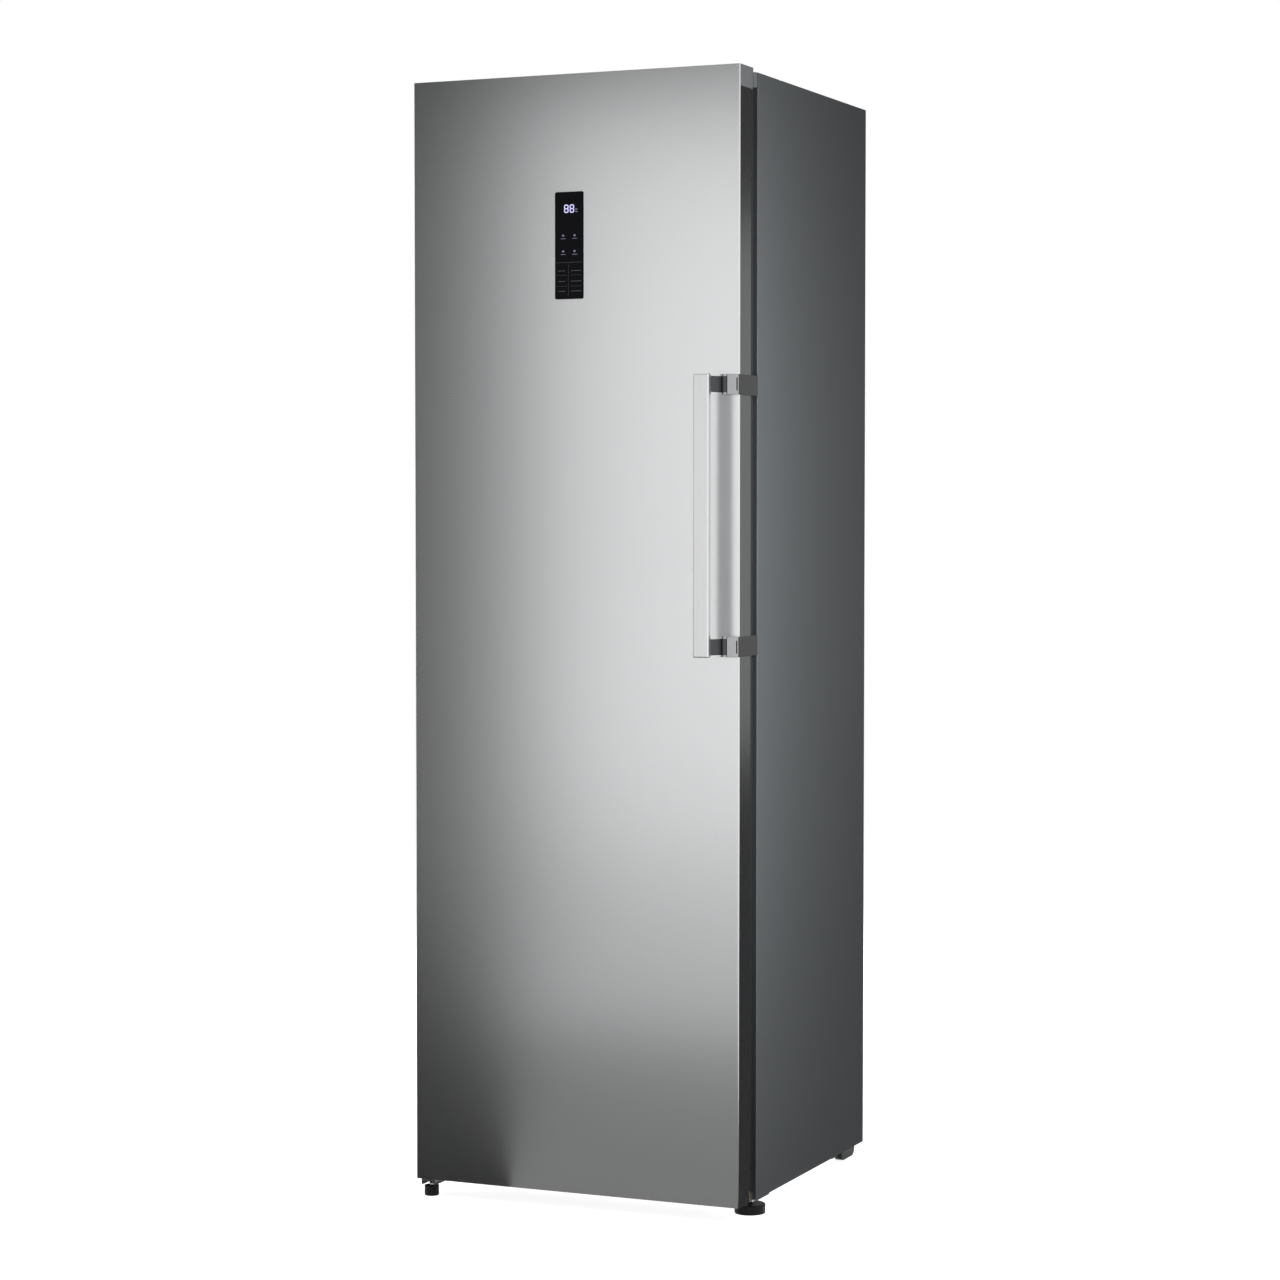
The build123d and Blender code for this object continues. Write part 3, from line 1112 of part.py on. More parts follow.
def handle_clamp(z):
    """Clamp round the door's free edge: front block, ears for the pin and a hollow side wrap."""
    half = CLAMP_H / 2
    z0 = z - half
    z1 = z + half
    front = block(XR - CLAMP_BLOCK, XR + CLAMP_PROUD, YD - CLAMP_FRONT, YD, z0, z1)
    front = fillet(upright_edges(front, XR + CLAMP_PROUD, YD - CLAMP_FRONT), CLAMP_ROUND)
    base = block(XR - BASE_IN, XR, YD - BASE_T, YD, z0, z1)
    ears = post(PIVOT_X, PIVOT_Y, z0, z1, 2 * EAR_R) + block(
        PIVOT_X - EAR_R, XR - CLAMP_BLOCK + TOUCH, PIVOT_Y, YD, z0, z1)
    room = ARM_H / 2 + FIT
    ears -= block(PIVOT_X - CLAMP_FRONT, XR - CLAMP_BLOCK + TOUCH, YD - CLAMP_FRONT, YD - BASE_T,
                  z - room, z + room)
    wrap = block(XR, XR + CLAMP_PROUD, YD - TOUCH, YD + CLAMP_BACK, z0, z1)
    clamp = front + base + ears + wrap
    clamp = fillet(clamp.faces().sort_by(Axis.X)[-1].edges().filter_by(Axis.Y), CLAMP_WALL / 2)
    channel = CHANNEL_H / 2
    outer = XR + CLAMP_PROUD - CLAMP_WALL
    clamp -= post(PIVOT_X, PIVOT_Y, z - room, z + room, 2 * (KNUCKLE_R + 1.5 * FIT))
    inside = YD - CLAMP_FRONT + 2 * CLAMP_WALL
    clamp -= block(PIVOT_X, outer, inside, YD - BASE_T / 4, z - channel, z + channel)
    clamp -= block(XR, outer, inside, YD + CLAMP_BACK, z - channel, z + channel)
    return clamp - post(PIVOT_X, PIVOT_Y, z0, z1, LEVER_PIN_D)


def handle_pins():
    """Pins of the lever, one in each clamp."""
    return [post(PIVOT_X, PIVOT_Y, z - CLAMP_H / 2, z + CLAMP_H / 2, LEVER_PIN_D) for z in CLAMP_ZS]


def handle_springs():
    """Return spring round each pin, inside the knuckle."""
    height = SPRING_PITCH * SPRING_TURNS
    springs = []
    for z in CLAMP_ZS:
        path = Pos(PIVOT_X, PIVOT_Y, z - height / 2) * Helix(SPRING_PITCH, height, SPRING_D / 2)
        section = Plane(origin=path @ 0, z_dir=path % 0) * Circle(SPRING_WIRE / 2)
        springs.append(sweep(section, path=path, is_frenet=True))
    return springs


def pusher(z):
    """Sliding strip inside a clamp, with the tab that the lever's heel presses."""
    outer = XR + CLAMP_PROUD - CLAMP_WALL - FIT
    strip = block(outer - PUSHER_T, outer, YD - PUSHER_FRONT, YD + CLAMP_BACK + PUSHER_NOSE,
                  z - PUSHER_H / 2, z + PUSHER_H / 2)
    tab = block(XR - TAB_IN, outer, YD - PUSHER_FRONT, YD - PUSHER_FRONT + TAB_T, z - PUSHER_H / 2,
                z + PUSHER_H / 2)
    return strip + tab


# ---- all pieces ------------------------------------------------------------------------------
def pieces():
    """Every node by name."""
    nodes = {
        "side_panel_left": side_panel(-1),
        "side_panel_right": side_panel(1),
        "top_panel": top_panel(),
        "top_front_cover": top_front_cover(),
        "back_panel": back_panel(),
        "base_panel": base_panel(),
        "base_crossmember": base_crossmember(),
        "compressor_deck": compressor_deck(),
        "rear_cover": rear_cover(),
        "cabinet_foam": cabinet_foam(),
        "inner_liner": inner_liner(),
        "glass_shelves": glass_shelves(),
        "shelf_trims": shelf_trims(),
        "lamp_lens": lamp_lens(),
        "air_duct_cover": air_duct_cover(),
        "evaporator": evaporator(),
        "defrost_heater": defrost_heater(),
        "fan_motor": fan_motor(),
        "fan_impeller": fan_impeller(),
        "drain_tube": drain_tube(),
        "compressor": compressor(),
        "compressor_grommets": compressor_grommets(),
        "drip_tray": drip_tray(),
        "condenser": condenser(),
        "refrigerant_lines": refrigerant_lines(),
        "control_box": control_box(),
        "power_inlet": power_inlet(),
        "top_hinge_bracket": top_hinge_bracket(),
        "top_hinge_cover": top_hinge_cover(),
        "bottom_hinge_bracket": bottom_hinge_bracket(),
        "hinge_pins": hinge_pins(),
        "cabinet_screws": cabinet_screws(),
        "foot_bracket_right": foot_bracket_right(),
        "foot_left": foot_left(),
        "foot_right": foot_right(),
        "roller_housings": roller_housings(),
        "roller_left": roller(ROLLER_XS[0]),
        "roller_right": roller(ROLLER_XS[1]),
        "door_skin": door_skin(),
        "door_top_cap": door_top_cap(),
        "door_bottom_cap": door_bottom_cap(),
        "door_foam": door_foam(),
        "door_liner": door_liner(),
        "door_gasket": door_gasket(),
        "hinge_bushes": hinge_bushes(),
        "display_glass": display_glass(),
        "display_board": display_board(),
        "handle_clamps": [handle_clamp(z) for z in CLAMP_ZS],
        "handle_pins": handle_pins(),
        "handle_springs": handle_springs(),
        "handle_bar": handle_bar(),
        "handle_arms": [handle_arm(z) for z in CLAMP_ZS],
        "pusher_lower": pusher(CLAMP_ZS[0]),
        "pusher_upper": pusher(CLAMP_ZS[1]),
    }
    for index in range(SHELVES):
        nodes[f"drawer_{index + 1}"] = drawer(index)
    return nodes


os.makedirs("parts", exist_ok=True)
for name, shape in pieces().items():
    solids = shape if isinstance(shape, list) else [shape]
    export_step(Compound(children=solids) if len(solids) > 1 else solids[0], f"parts/{name}.step")
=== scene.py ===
import math

import bpy
from bpy.props import FloatProperty, FloatVectorProperty, PointerProperty
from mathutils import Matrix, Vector


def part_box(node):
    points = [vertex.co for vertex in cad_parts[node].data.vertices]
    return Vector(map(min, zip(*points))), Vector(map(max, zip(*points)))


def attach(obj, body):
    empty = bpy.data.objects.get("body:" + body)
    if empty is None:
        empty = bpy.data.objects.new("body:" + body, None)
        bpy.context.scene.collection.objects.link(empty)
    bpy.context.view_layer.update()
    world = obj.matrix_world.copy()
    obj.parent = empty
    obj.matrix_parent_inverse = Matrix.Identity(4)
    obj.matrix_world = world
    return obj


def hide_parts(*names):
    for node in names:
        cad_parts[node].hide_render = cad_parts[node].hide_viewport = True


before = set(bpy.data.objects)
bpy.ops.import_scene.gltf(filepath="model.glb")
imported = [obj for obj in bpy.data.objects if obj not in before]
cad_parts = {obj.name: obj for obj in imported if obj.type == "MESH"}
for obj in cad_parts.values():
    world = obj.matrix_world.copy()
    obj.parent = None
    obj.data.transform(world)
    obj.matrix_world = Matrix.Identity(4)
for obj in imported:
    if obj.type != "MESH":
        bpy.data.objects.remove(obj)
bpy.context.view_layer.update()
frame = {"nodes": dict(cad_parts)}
NODES = frame["nodes"]

bl_info = {
    "name": "Upright freezer",
    "version": (1, 0, 0),
    "blender": (4, 5, 0),
    "location": "View3D > Sidebar > Freezer",
    "description": "Finishes, door seal, display marks and studio of an upright freezer",
    "category": "Object",
}

MM = 0.001
UPRIGHT = (math.pi / 2, 0, 0)
FLAT = (0, 0, 0)
SHADED_LINER_EDGE = 3 * MM          # painted shade on the side bands of the door's liner, inside the gap to the cabinet
SHADED_FLANGE_DEPTH = 0.25 * MM      # how far the painted shade in the gap reaches back from the side panels' front
SEAL_WIDTH = 15 * MM
SEAL_FOLDS = (0.0, 0.12, 0.25, 0.38, 0.51, 0.64, 0.76)  # shares of the seal's depth
SEAL_HEAD = 0.82             # share of the depth where the magnet strip begins
SMOOTH_ANGLE = math.radians(40)

# Marks on the display, in millimetres: X from the glass's middle, drop from its top, width, height
DIGIT_DROP = -27.8
DIGIT_APART = 0.64           # each digit's middle from the glass's middle, as a share of its width
UNIT_MARKS = ((13.0, -28.9, 4.2, 1.2), (13.0, -32.9, 4.2, 1.2))
FLAKES = ((-10.9, -72), (9.9, -72), (-10.9, -98.1), (9.9, -98.1))
FLAKE_STROKE = (4.2, 0.8)
FLAKE_LINE = (-5.2, 9, 0.6)  # drop below the flake, width, height
KEY_FRAME = ((0, -116.5, 48, 0.45), (-1.6, -146, 0.3, 51))
KEY_COLUMNS = ((-14.0, 13.5), (12.5, 18.7))  # X and width of the label
KEY_RULES = (-137.5, -155.8)
KEY_RULE = (20, 0.3)
KEY_LABELS = (-130.3, -147.6, -163.9)
KEY_LABEL_HEIGHT = 0.9

# Name, place, turn and size of each card; the level is a setting of the studio
CARDS = (
    ("card_front_left", (-4.53, -4.3, 2.2), UPRIGHT, (5.0, 4.4), "card_level"),
    ("card_front_top", (-1.5, -4.25, 4.2), UPRIGHT, (11.0, 3.5), "card_level"),
    ("card_low_left", (-2.45, -1.63, 0.02), (0, 0, -0.454), (3.0, 4.47), "card_level"),
    ("card_low_right", (0.0, -1.09, 0.015), FLAT, (2.4, 1.6), "near_level"),
    ("card_low_far", (-1.0, -3.6, 0.01), FLAT, (5.0, 3.6), "far_level"),
    ("card_rear_right", (3.3, 4.4, 2.5), UPRIGHT, (5.4, 5.0), "card_level"),
    ("card_rear_low", (2.55, 2.0, 0.02), FLAT, (4.5, 4.7), "card_level"),
    ("card_rear_middle", (3.3, 4.3, 1.25), UPRIGHT, (5.4, 1.7), "middle_level"),
)
# Name, place, aim and size of each lamp
LAMPS = (
    ("key", (0.72, -0.66, 1.1), (0.29, -0.3, 1.05), (0.5, 1.5)),
    ("left", (-2.4, 0.6, 1.9), (-0.3, 0.0, 1.0), (1.6, 1.6)),
    ("rear", (-1.2, 3.0, 2.0), (-0.1, 0.3, 1.0), (1.4, 1.4)),
    ("top", (-0.5, 0.3, 4.0), (-0.1, 0.1, 1.0), (1.4, 1.4)),
)
FLOOR_SIZE = 60
FLOOR_SHADE = 0.80
CAMERA_PLACE = (2.1887, -5.0103, 1.1746)
CAMERA_TURN = (math.pi / 2 - 0.0411, 0, 0.4121)
SENSOR_WIDTH = 36
PANEL_TAB = "Freezer"


# ---- what a user would change ----------------------------------------------------------------
def colour_property(name, text, default):
    """A linear colour with a picker."""
    return FloatVectorProperty(name=name, description=text, default=default, subtype="COLOR", size=3, min=0, max=1)


def length_property(name, text, default):
    """A length in metres."""
    return FloatProperty(name=name, description=text, default=default, unit="LENGTH", min=0)


class FreezerFinish(bpy.types.PropertyGroup):
    """Colours of the freezer's finishes."""
    steel: colour_property("Steel", "Brushed steel of the door", (0.80, 0.81, 0.815))
    side_paint: colour_property("Side paint", "Grey paint of the cabinet's sides", (0.098, 0.105, 0.109))
    liner: colour_property("Liner", "White moulded inside", (0.80, 0.81, 0.81))
    cap: colour_property("Cap", "Grey moulded caps", (0.15, 0.157, 0.162))
    # frame is painted shade where it darkens the cabinet's front flange and the door liner's edge in the gap; it is
    # also the paint of the base crossmember
    frame: colour_property("Frame", "Dark front of the cabinet and edge of the door's liner", (0.022, 0.023, 0.025))
    seal: colour_property("Seal", "Door seal", (0.030, 0.031, 0.033))
    digits: colour_property("Digits", "Light of the display", (0.66, 0.64, 1.0))


class FreezerSeal(bpy.types.PropertyGroup):
    """Sizes of the door seal's folded section."""
    fold: length_property("Fold", "How far each fold of the bellows is drawn in", 1.6 * MM)
    lip: length_property("Lip", "Rounding of the magnet strip", 0.7 * MM)


class FreezerDisplay(bpy.types.PropertyGroup):
    """Sizes of the marks on the display."""
    digit_height: length_property("Digit height", "Height of the two digits", 13.6 * MM)
    digit_width: length_property("Digit width", "Width of one digit", 8.0 * MM)
    stroke: length_property("Stroke", "Width of a lit segment", 1.7 * MM)
    proud: length_property("Proud", "Thickness of the printed marks", 0.08 * MM)


class FreezerStudio(bpy.types.PropertyGroup):
    """Studio light and camera."""
    key_power: FloatProperty(name="Key", description="Near lamp at the front right", default=16, unit="POWER", min=0)
    left_power: FloatProperty(name="Left", description="Lamp on the left", default=35, unit="POWER", min=0)
    rear_power: FloatProperty(name="Rear", description="Lamp behind", default=60, unit="POWER", min=0)
    top_power: FloatProperty(name="Top", description="Lamp overhead", default=25, unit="POWER", min=0)
    surround: FloatProperty(name="Surround", description="Light from all round", default=0.15, min=0)
    card_level: FloatProperty(name="Cards", description="Level of the dark cards in gloss", default=0.03, min=0)
    near_level: FloatProperty(name="Near card", description="Level of the card on the floor close to the door",
                              default=0.21, min=0)
    far_level: FloatProperty(name="Far card", description="Level of the card on the floor further off",
                             default=0.54, min=0)
    middle_level: FloatProperty(name="Middle card", description="Level of the grey rear card", default=0.18, min=0)
    lens: FloatProperty(name="Lens", description="Focal length in millimetres", default=88.12, min=1)


# ---- finishes --------------------------------------------------------------------------------
class Signal:
    """A node's output, with arithmetic that adds Math nodes."""

    def __init__(self, nodes, output):
        self.nodes = nodes
        self.output = output

    def _math(self, operation, first, second):
        return self.nodes.add("ShaderNodeMath", {"operation": operation}, {0: first, 1: second})

    def __add__(self, other):
        return self._math("ADD", self, other)

    def __radd__(self, other):
        return self._math("ADD", other, self)

    def __sub__(self, other):
        return self._math("SUBTRACT", self, other)

    def __rsub__(self, other):
        return self._math("SUBTRACT", other, self)

    def __mul__(self, other):
        return self._math("MULTIPLY", self, other)

    def __rmul__(self, other):
        return self._math("MULTIPLY", other, self)

    def __abs__(self):
        return self._math("ABSOLUTE", self, 0.0)

    def __gt__(self, other):
        return self._math("GREATER_THAN", self, other)

    def __or__(self, other):
        return self._math("MAXIMUM", self, other)


class Nodes:
    """A node tree that is being filled."""

    def __init__(self, tree):
        self.tree = tree

    def add(self, kind, settings, inputs, output=0):
        """Adds a node, sets it up, feeds its sockets and returns one output."""
        node = self.tree.nodes.new(kind)
        for key, value in settings.items():
            setattr(node, key, value)
        for key, value in inputs.items():
            self.feed(node.inputs[key], value)
        return Signal(self, node.outputs[output])

    def feed(self, socket, value):
        """Links a signal to a socket, or sets the socket's value."""
        if isinstance(value, Signal):
            self.tree.links.new(value.output, socket)
        else:
            socket.default_value = value

    def mix(self, level, first, second):
        """The first colour at level 0, the second at level 1."""
        return self.add("ShaderNodeMix", {"data_type": "RGBA"}, {"Factor": level, 6: first, 7: second}, 2)

    def seen(self):
        """1 for what the camera, gloss and clear pieces see, 0 for what lights a matt surface."""
        kinds = ("Is Camera Ray", "Is Glossy Ray", "Is Transmission Ray")
        camera, glossy, through = (self.add("ShaderNodeLightPath", {}, {}, kind) for kind in kinds)
        return camera | glossy | through


class Finish(Nodes):
    """One procedural material while it is being made."""

    def __init__(self, name, colour, roughness, metallic=0.0, **constants):
        self.material = bpy.data.materials.new(name)
        self.material.use_nodes = True
        super().__init__(self.material.node_tree)
        self.shader = self.tree.nodes["Principled BSDF"]
        self.colour = tuple(colour)
        self.shader.inputs["Base Color"].default_value = (*self.colour, 1)
        self.shader.inputs["Roughness"].default_value = roughness
        self.shader.inputs["Metallic"].default_value = metallic
        for socket, value in constants.items():
            self.shader.inputs[socket.replace("_", " ")].default_value = value
        self.material.diffuse_color = (*self.colour, 1)

    def place(self, stretch=(1, 1, 1)):
        """The point on the piece, in metres, stretched along each axis."""
        point = self.add("ShaderNodeTexCoord", {}, {}, "Object")
        return self.add("ShaderNodeMapping", {}, {"Vector": point, "Scale": stretch})

    def noise(self, scale, detail=2.0, stretch=(1, 1, 1), distortion=0.0):
        """Soft noise from 0 to 1."""
        inputs = {"Vector": self.place(stretch), "Scale": scale, "Detail": detail, "Distortion": distortion}
        return self.add("ShaderNodeTexNoise", {}, inputs, "Fac")

    def cells(self, scale, stretch=(1, 1, 1)):
        """Random level of each cell of a crystal pattern."""
        colour = self.add("ShaderNodeTexVoronoi", {}, {"Vector": self.place(stretch), "Scale": scale}, "Color")
        return self.add("ShaderNodeSeparateColor", {}, {"Color": colour}, "Red")

    def tint(self, level, amount, other=None):
        """Varies the colour between itself and another by a level from 0 to 1."""
        other = other or tuple(max(0.0, c * (1 - amount)) for c in self.colour)
        self.feed(self.shader.inputs["Base Color"], self.mix(level, (*self.colour, 1), (*other, 1)))
        return self

    def along(self, axis):
        """The place on the piece along one axis, in metres."""
        return self.add("ShaderNodeSeparateXYZ", {}, {"Vector": self.place()}, axis)

    def recolour(self, where, colour):
        """Another colour where a level is 1."""
        socket = self.shader.inputs["Base Color"]
        present = Signal(self, socket.links[0].from_socket)
        self.feed(socket, self.mix(where, present, (*colour, 1)))
        return self

    def roughen(self, level, spread):
        """Varies the roughness about its set value."""
        socket = self.shader.inputs["Roughness"]
        base = socket.default_value
        self.feed(socket, (level - 0.5) * spread + base)
        return self

    def relief(self, level, depth):
        """Fine relief of the surface, depth in metres."""
        normal = self.add("ShaderNodeBump", {}, {"Height": level, "Distance": depth, "Strength": 1.0}, "Normal")
        self.feed(self.shader.inputs["Normal"], normal)
        return self


def brushed(name, colour, roughness, along, line=1600.0, depth=1.2e-6, spread=0.10, shade=0.07):
    """Metal with fine straight brushing along one axis."""
    stretch = tuple(0.012 if axis == along else 1.0 for axis in "XYZ")
    finish = Finish(name, colour, roughness, 1.0)
    lines = finish.noise(line, 3.0, stretch)
    cloud = finish.noise(3.0, 2.0)
    finish.tint(lines * 0.7 + cloud * 0.3, shade)
    finish.roughen(lines * 0.8 + cloud * 0.2, spread)
    return finish.relief(lines, depth)


def painted(name, colour, roughness, gloss=0.35, peel=700.0, depth=6e-6, shade=0.10):
    """Baked paint with a faint orange-peel surface."""
    finish = Finish(name, colour, roughness, 0.0, Specular_IOR_Level=gloss)
    peel_level = finish.noise(peel, 2.0)
    cloud = finish.noise(2.5, 3.0)
    finish.tint(cloud * 0.6 + peel_level * 0.4, shade)
    finish.roughen(peel_level, 0.08)
    return finish.relief(peel_level, depth)


def moulded(name, colour, roughness, grain=1800.0, depth=8e-6, shade=0.06, **constants):
    """Moulded plastic or rubber with a fine tool grain."""
    finish = Finish(name, colour, roughness, 0.0, **constants)
    fine = finish.noise(grain, 2.0)
    cloud = finish.noise(6.0, 2.0)
    finish.tint(cloud * 0.5 + fine * 0.5, shade)
    finish.roughen(fine, 0.10)
    return finish.relief(fine, depth)


def galvanised(name, colour, roughness, crystal=90.0, metallic=1.0):
    """Zinc-coated sheet with its crystal pattern."""
    finish = Finish(name, colour, roughness, metallic)
    crystals = finish.cells(crystal)
    fine = finish.noise(900.0, 2.0)
    finish.tint(crystals * 0.8 + fine * 0.2, 0.16)
    finish.roughen(crystals, 0.16)
    return finish.relief(fine, 2e-6)


def drawn(name, colour, roughness, tarnish, metallic=1.0):
    """Drawn or rolled metal with slight tarnish in patches."""
    finish = Finish(name, colour, roughness, metallic)
    patch = finish.noise(35.0, 3.0, distortion=0.4)
    fine = finish.noise(1100.0, 2.0)
    finish.tint(patch, 0.2, tarnish)
    finish.roughen(patch * 0.6 + fine * 0.4, 0.18)
    return finish.relief(fine, 2e-6)


def clear(name, colour, roughness, refraction, weight=1.0, ripple=3e-6):
    """Clear glass or clear moulded plastic."""
    finish = Finish(name, colour, roughness, 0.0, IOR=refraction, Transmission_Weight=weight)
    flow = finish.noise(26.0, 2.0)
    fine = finish.noise(1400.0, 1.0)
    finish.tint(flow, 0.03)
    finish.roughen(flow * 0.5 + fine * 0.5, 0.05)
    return finish.relief(flow, ripple)


def foamed(name, colour):
    """Rigid foam with open cells at its skin."""
    finish = Finish(name, colour, 0.9)
    cell = finish.noise(420.0, 4.0)
    finish.tint(cell, 0.25)
    return finish.relief(cell, 2e-4)


def glowing(name, colour, strength):
    """Glowing mark on the display, a little uneven as a light pipe is: lit marks behind the glass, and printed key
    marks given a painted glow.
    """
    finish = Finish(name, tuple(0.3 * c for c in colour), 0.4, 0.0, Emission_Strength=strength)
    uneven = finish.mix(finish.noise(500.0, 1.0) * 0.3, (*colour, 1), (*(0.7 * c for c in colour), 1))
    finish.feed(finish.shader.inputs["Emission Color"], uneven)
    return finish


def dress(finish, *names):
    """Gives CAD nodes their finish."""
    for name in names:
        node = NODES[name]
        if not node.material_slots:
            node.data.materials.append(finish.material)
        for slot in node.material_slots:
            slot.material = finish.material


# ---- modelling helpers -----------------------------------------------------------------------
def deselect():
    """Leaves nothing selected and no piece in edit mode."""
    if bpy.context.object and bpy.context.object.mode != "OBJECT":
        bpy.ops.object.mode_set(mode="OBJECT")
    bpy.ops.object.select_all(action="DESELECT")


def settle(piece, name, finish):
    """Names a piece, puts its place in its mesh and gives it its finish."""
    deselect()
    piece.select_set(True)
    bpy.context.view_layer.objects.active = piece
    bpy.ops.object.transform_apply(location=True, rotation=True, scale=True)
    piece.name = name
    piece.data.name = name
    piece.data.materials.clear()
    piece.data.materials.append(finish.material)
    return piece


def bar(centre, size, bevel):
    """A flat bar with bevelled ends, from a cube shaped in edit mode."""
    deselect()
    bpy.ops.mesh.primitive_cube_add(size=1, location=centre, scale=size)
    piece = bpy.context.object
    bpy.ops.object.transform_apply(location=False, rotation=False, scale=True)
    bpy.ops.object.mode_set(mode="EDIT")
    bpy.ops.mesh.select_all(action="DESELECT")
    bpy.ops.object.mode_set(mode="OBJECT")
    for edge in piece.data.edges:
        a, b = (piece.data.vertices[i].co for i in edge.vertices)
        edge.select = abs(a.y - b.y) > abs(size[1]) / 2
    bpy.ops.object.mode_set(mode="EDIT")
    bpy.ops.mesh.bevel(offset=bevel, segments=1, affect="EDGES")
    bpy.ops.object.mode_set(mode="OBJECT")
    return piece


def join(parts, name, finish):
    """Joins like parts into one piece."""
    deselect()
    for part in parts:
        part.select_set(True)
    bpy.context.view_layer.objects.active = parts[0]
    if len(parts) > 1:
        bpy.ops.object.join()
    return settle(bpy.context.object, name, finish)


def swept_frame(low, high, section):
    """A closed upright frame: its section, as inset and depth, is swept round the rectangle from low to high."""
    centre = (low + high) / 2
    half_w = (high.x - low.x) / 2
    half_h = (high.z - low.z) / 2
    inset, depth = section[0]
    deselect()
    bpy.ops.mesh.primitive_plane_add(size=2, location=(centre.x, low.y + depth, centre.z), rotation=UPRIGHT)
    piece = bpy.context.object
    piece.scale = (half_w - inset, half_h - inset, 1)
    bpy.ops.object.transform_apply(location=True, rotation=True, scale=True)
    bpy.ops.object.mode_set(mode="EDIT")
    bpy.ops.mesh.select_all(action="SELECT")
    bpy.ops.mesh.delete(type="ONLY_FACE")
    bpy.ops.mesh.select_all(action="SELECT")
    for new_inset, new_depth in section[1:]:
        bpy.ops.mesh.extrude_region_move(TRANSFORM_OT_translate={"value": (0, new_depth - depth, 0)})
        ratio = ((half_w - new_inset) / (half_w - inset), 1, (half_h - new_inset) / (half_h - inset))
        bpy.ops.transform.resize(value=ratio, center_override=(centre.x, low.y + new_depth, centre.z))
        inset, depth = new_inset, new_depth
    bpy.ops.mesh.select_all(action="DESELECT")
    bpy.ops.object.mode_set(mode="OBJECT")
    ends = {0, 1, 2, 3} | set(range(len(piece.data.vertices) - 4, len(piece.data.vertices)))
    for edge in piece.data.edges:
        first, second = (i in {0, 1, 2, 3} for i in edge.vertices)
        edge.select = set(edge.vertices) <= ends and first == second
    bpy.ops.object.mode_set(mode="EDIT")
    bpy.ops.mesh.select_mode(type="EDGE")
    bpy.ops.mesh.bridge_edge_loops()
    bpy.ops.mesh.select_all(action="SELECT")
    bpy.ops.mesh.normals_make_consistent(inside=False)
    bpy.ops.object.mode_set(mode="OBJECT")
    bpy.ops.object.shade_smooth_by_angle(angle=SMOOTH_ANGLE)
    return piece


# ---- one operator for each piece or group ----------------------------------------------------
class FREEZER_OT_door(bpy.types.Operator):
    """Finishes the door's skin, caps, liner and display"""
    bl_idname = "freezer.door"
    bl_label = "Door finishes"

    def execute(self, context):
        colours = context.scene.freezer_finish
        dress(brushed("brushed_steel", colours.steel, 0.20, "Z", 1600.0, 5e-7, 0.05, 0.05), "door_skin")
        dress(moulded("grey_cap", colours.cap, 0.46), "door_top_cap", "door_bottom_cap")
        low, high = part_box("door_liner")
        liner = Finish("door_liner_white", colours.liner, 0.32)
        grain = liner.noise(900.0)
        liner.tint(liner.noise(6.0) * 0.5 + grain * 0.5, 0.03).roughen(grain, 0.10).relief(grain, 5e-6)
        across = liner.along("X") - (low.x + high.x) / 2
        # painted shade: the liner's side bands are recoloured with the dark frame colour, as the shade in the gap
        liner.recolour(abs(across) > (high.x - low.x) / 2 - SHADED_LINER_EDGE, colours.frame)
        dress(liner, "door_liner")
        dress(foamed("door_foam_core", (0.72, 0.60, 0.36)), "door_foam")
        glass = Finish("black_glass", (0.004, 0.004, 0.006), 0.10, 0.0, Specular_IOR_Level=0.06)
        flow = glass.noise(9.0)
        glass.tint(flow, 0.3).roughen(flow, 0.03)
        dress(glass, "display_glass")
        board = Finish("circuit_board", (0.012, 0.085, 0.035), 0.42)
        pads = board.cells(260.0)
        board.tint(pads, 0.4, (0.03, 0.15, 0.06)).relief(pads, 3e-5)
        dress(board, "display_board")
        dress(moulded("bush_plastic", (0.74, 0.74, 0.70), 0.38), "hinge_bushes")
        return {"FINISHED"}


class FREEZER_OT_seal(bpy.types.Operator):
    """Models the folded door seal in place of its plain solid"""
    bl_idname = "freezer.seal"
    bl_label = "Door seal"

    def execute(self, context):
        sizes = context.scene.freezer_seal
        low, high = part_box("door_gasket")
        deep = high.y - low.y
        fold, lip = sizes.fold, sizes.lip
        outer = [(fold if i % 2 else 0.35 * fold, share * deep) for i, share in enumerate(SEAL_FOLDS)]
        head = [(0.0, SEAL_HEAD * deep), (0.0, deep - lip), (lip, deep)]
        section = outer + head
        section += [(SEAL_WIDTH - inset, depth) for inset, depth in reversed(section)]
        piece = swept_frame(low, high, section)
        seal = moulded("seal_rubber", context.scene.freezer_finish.seal, 0.55, 1500.0, 1e-5, 0.12)
        settle(piece, "door_seal", seal)
        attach(piece, "door")
        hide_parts("door_gasket")
        return {"FINISHED"}


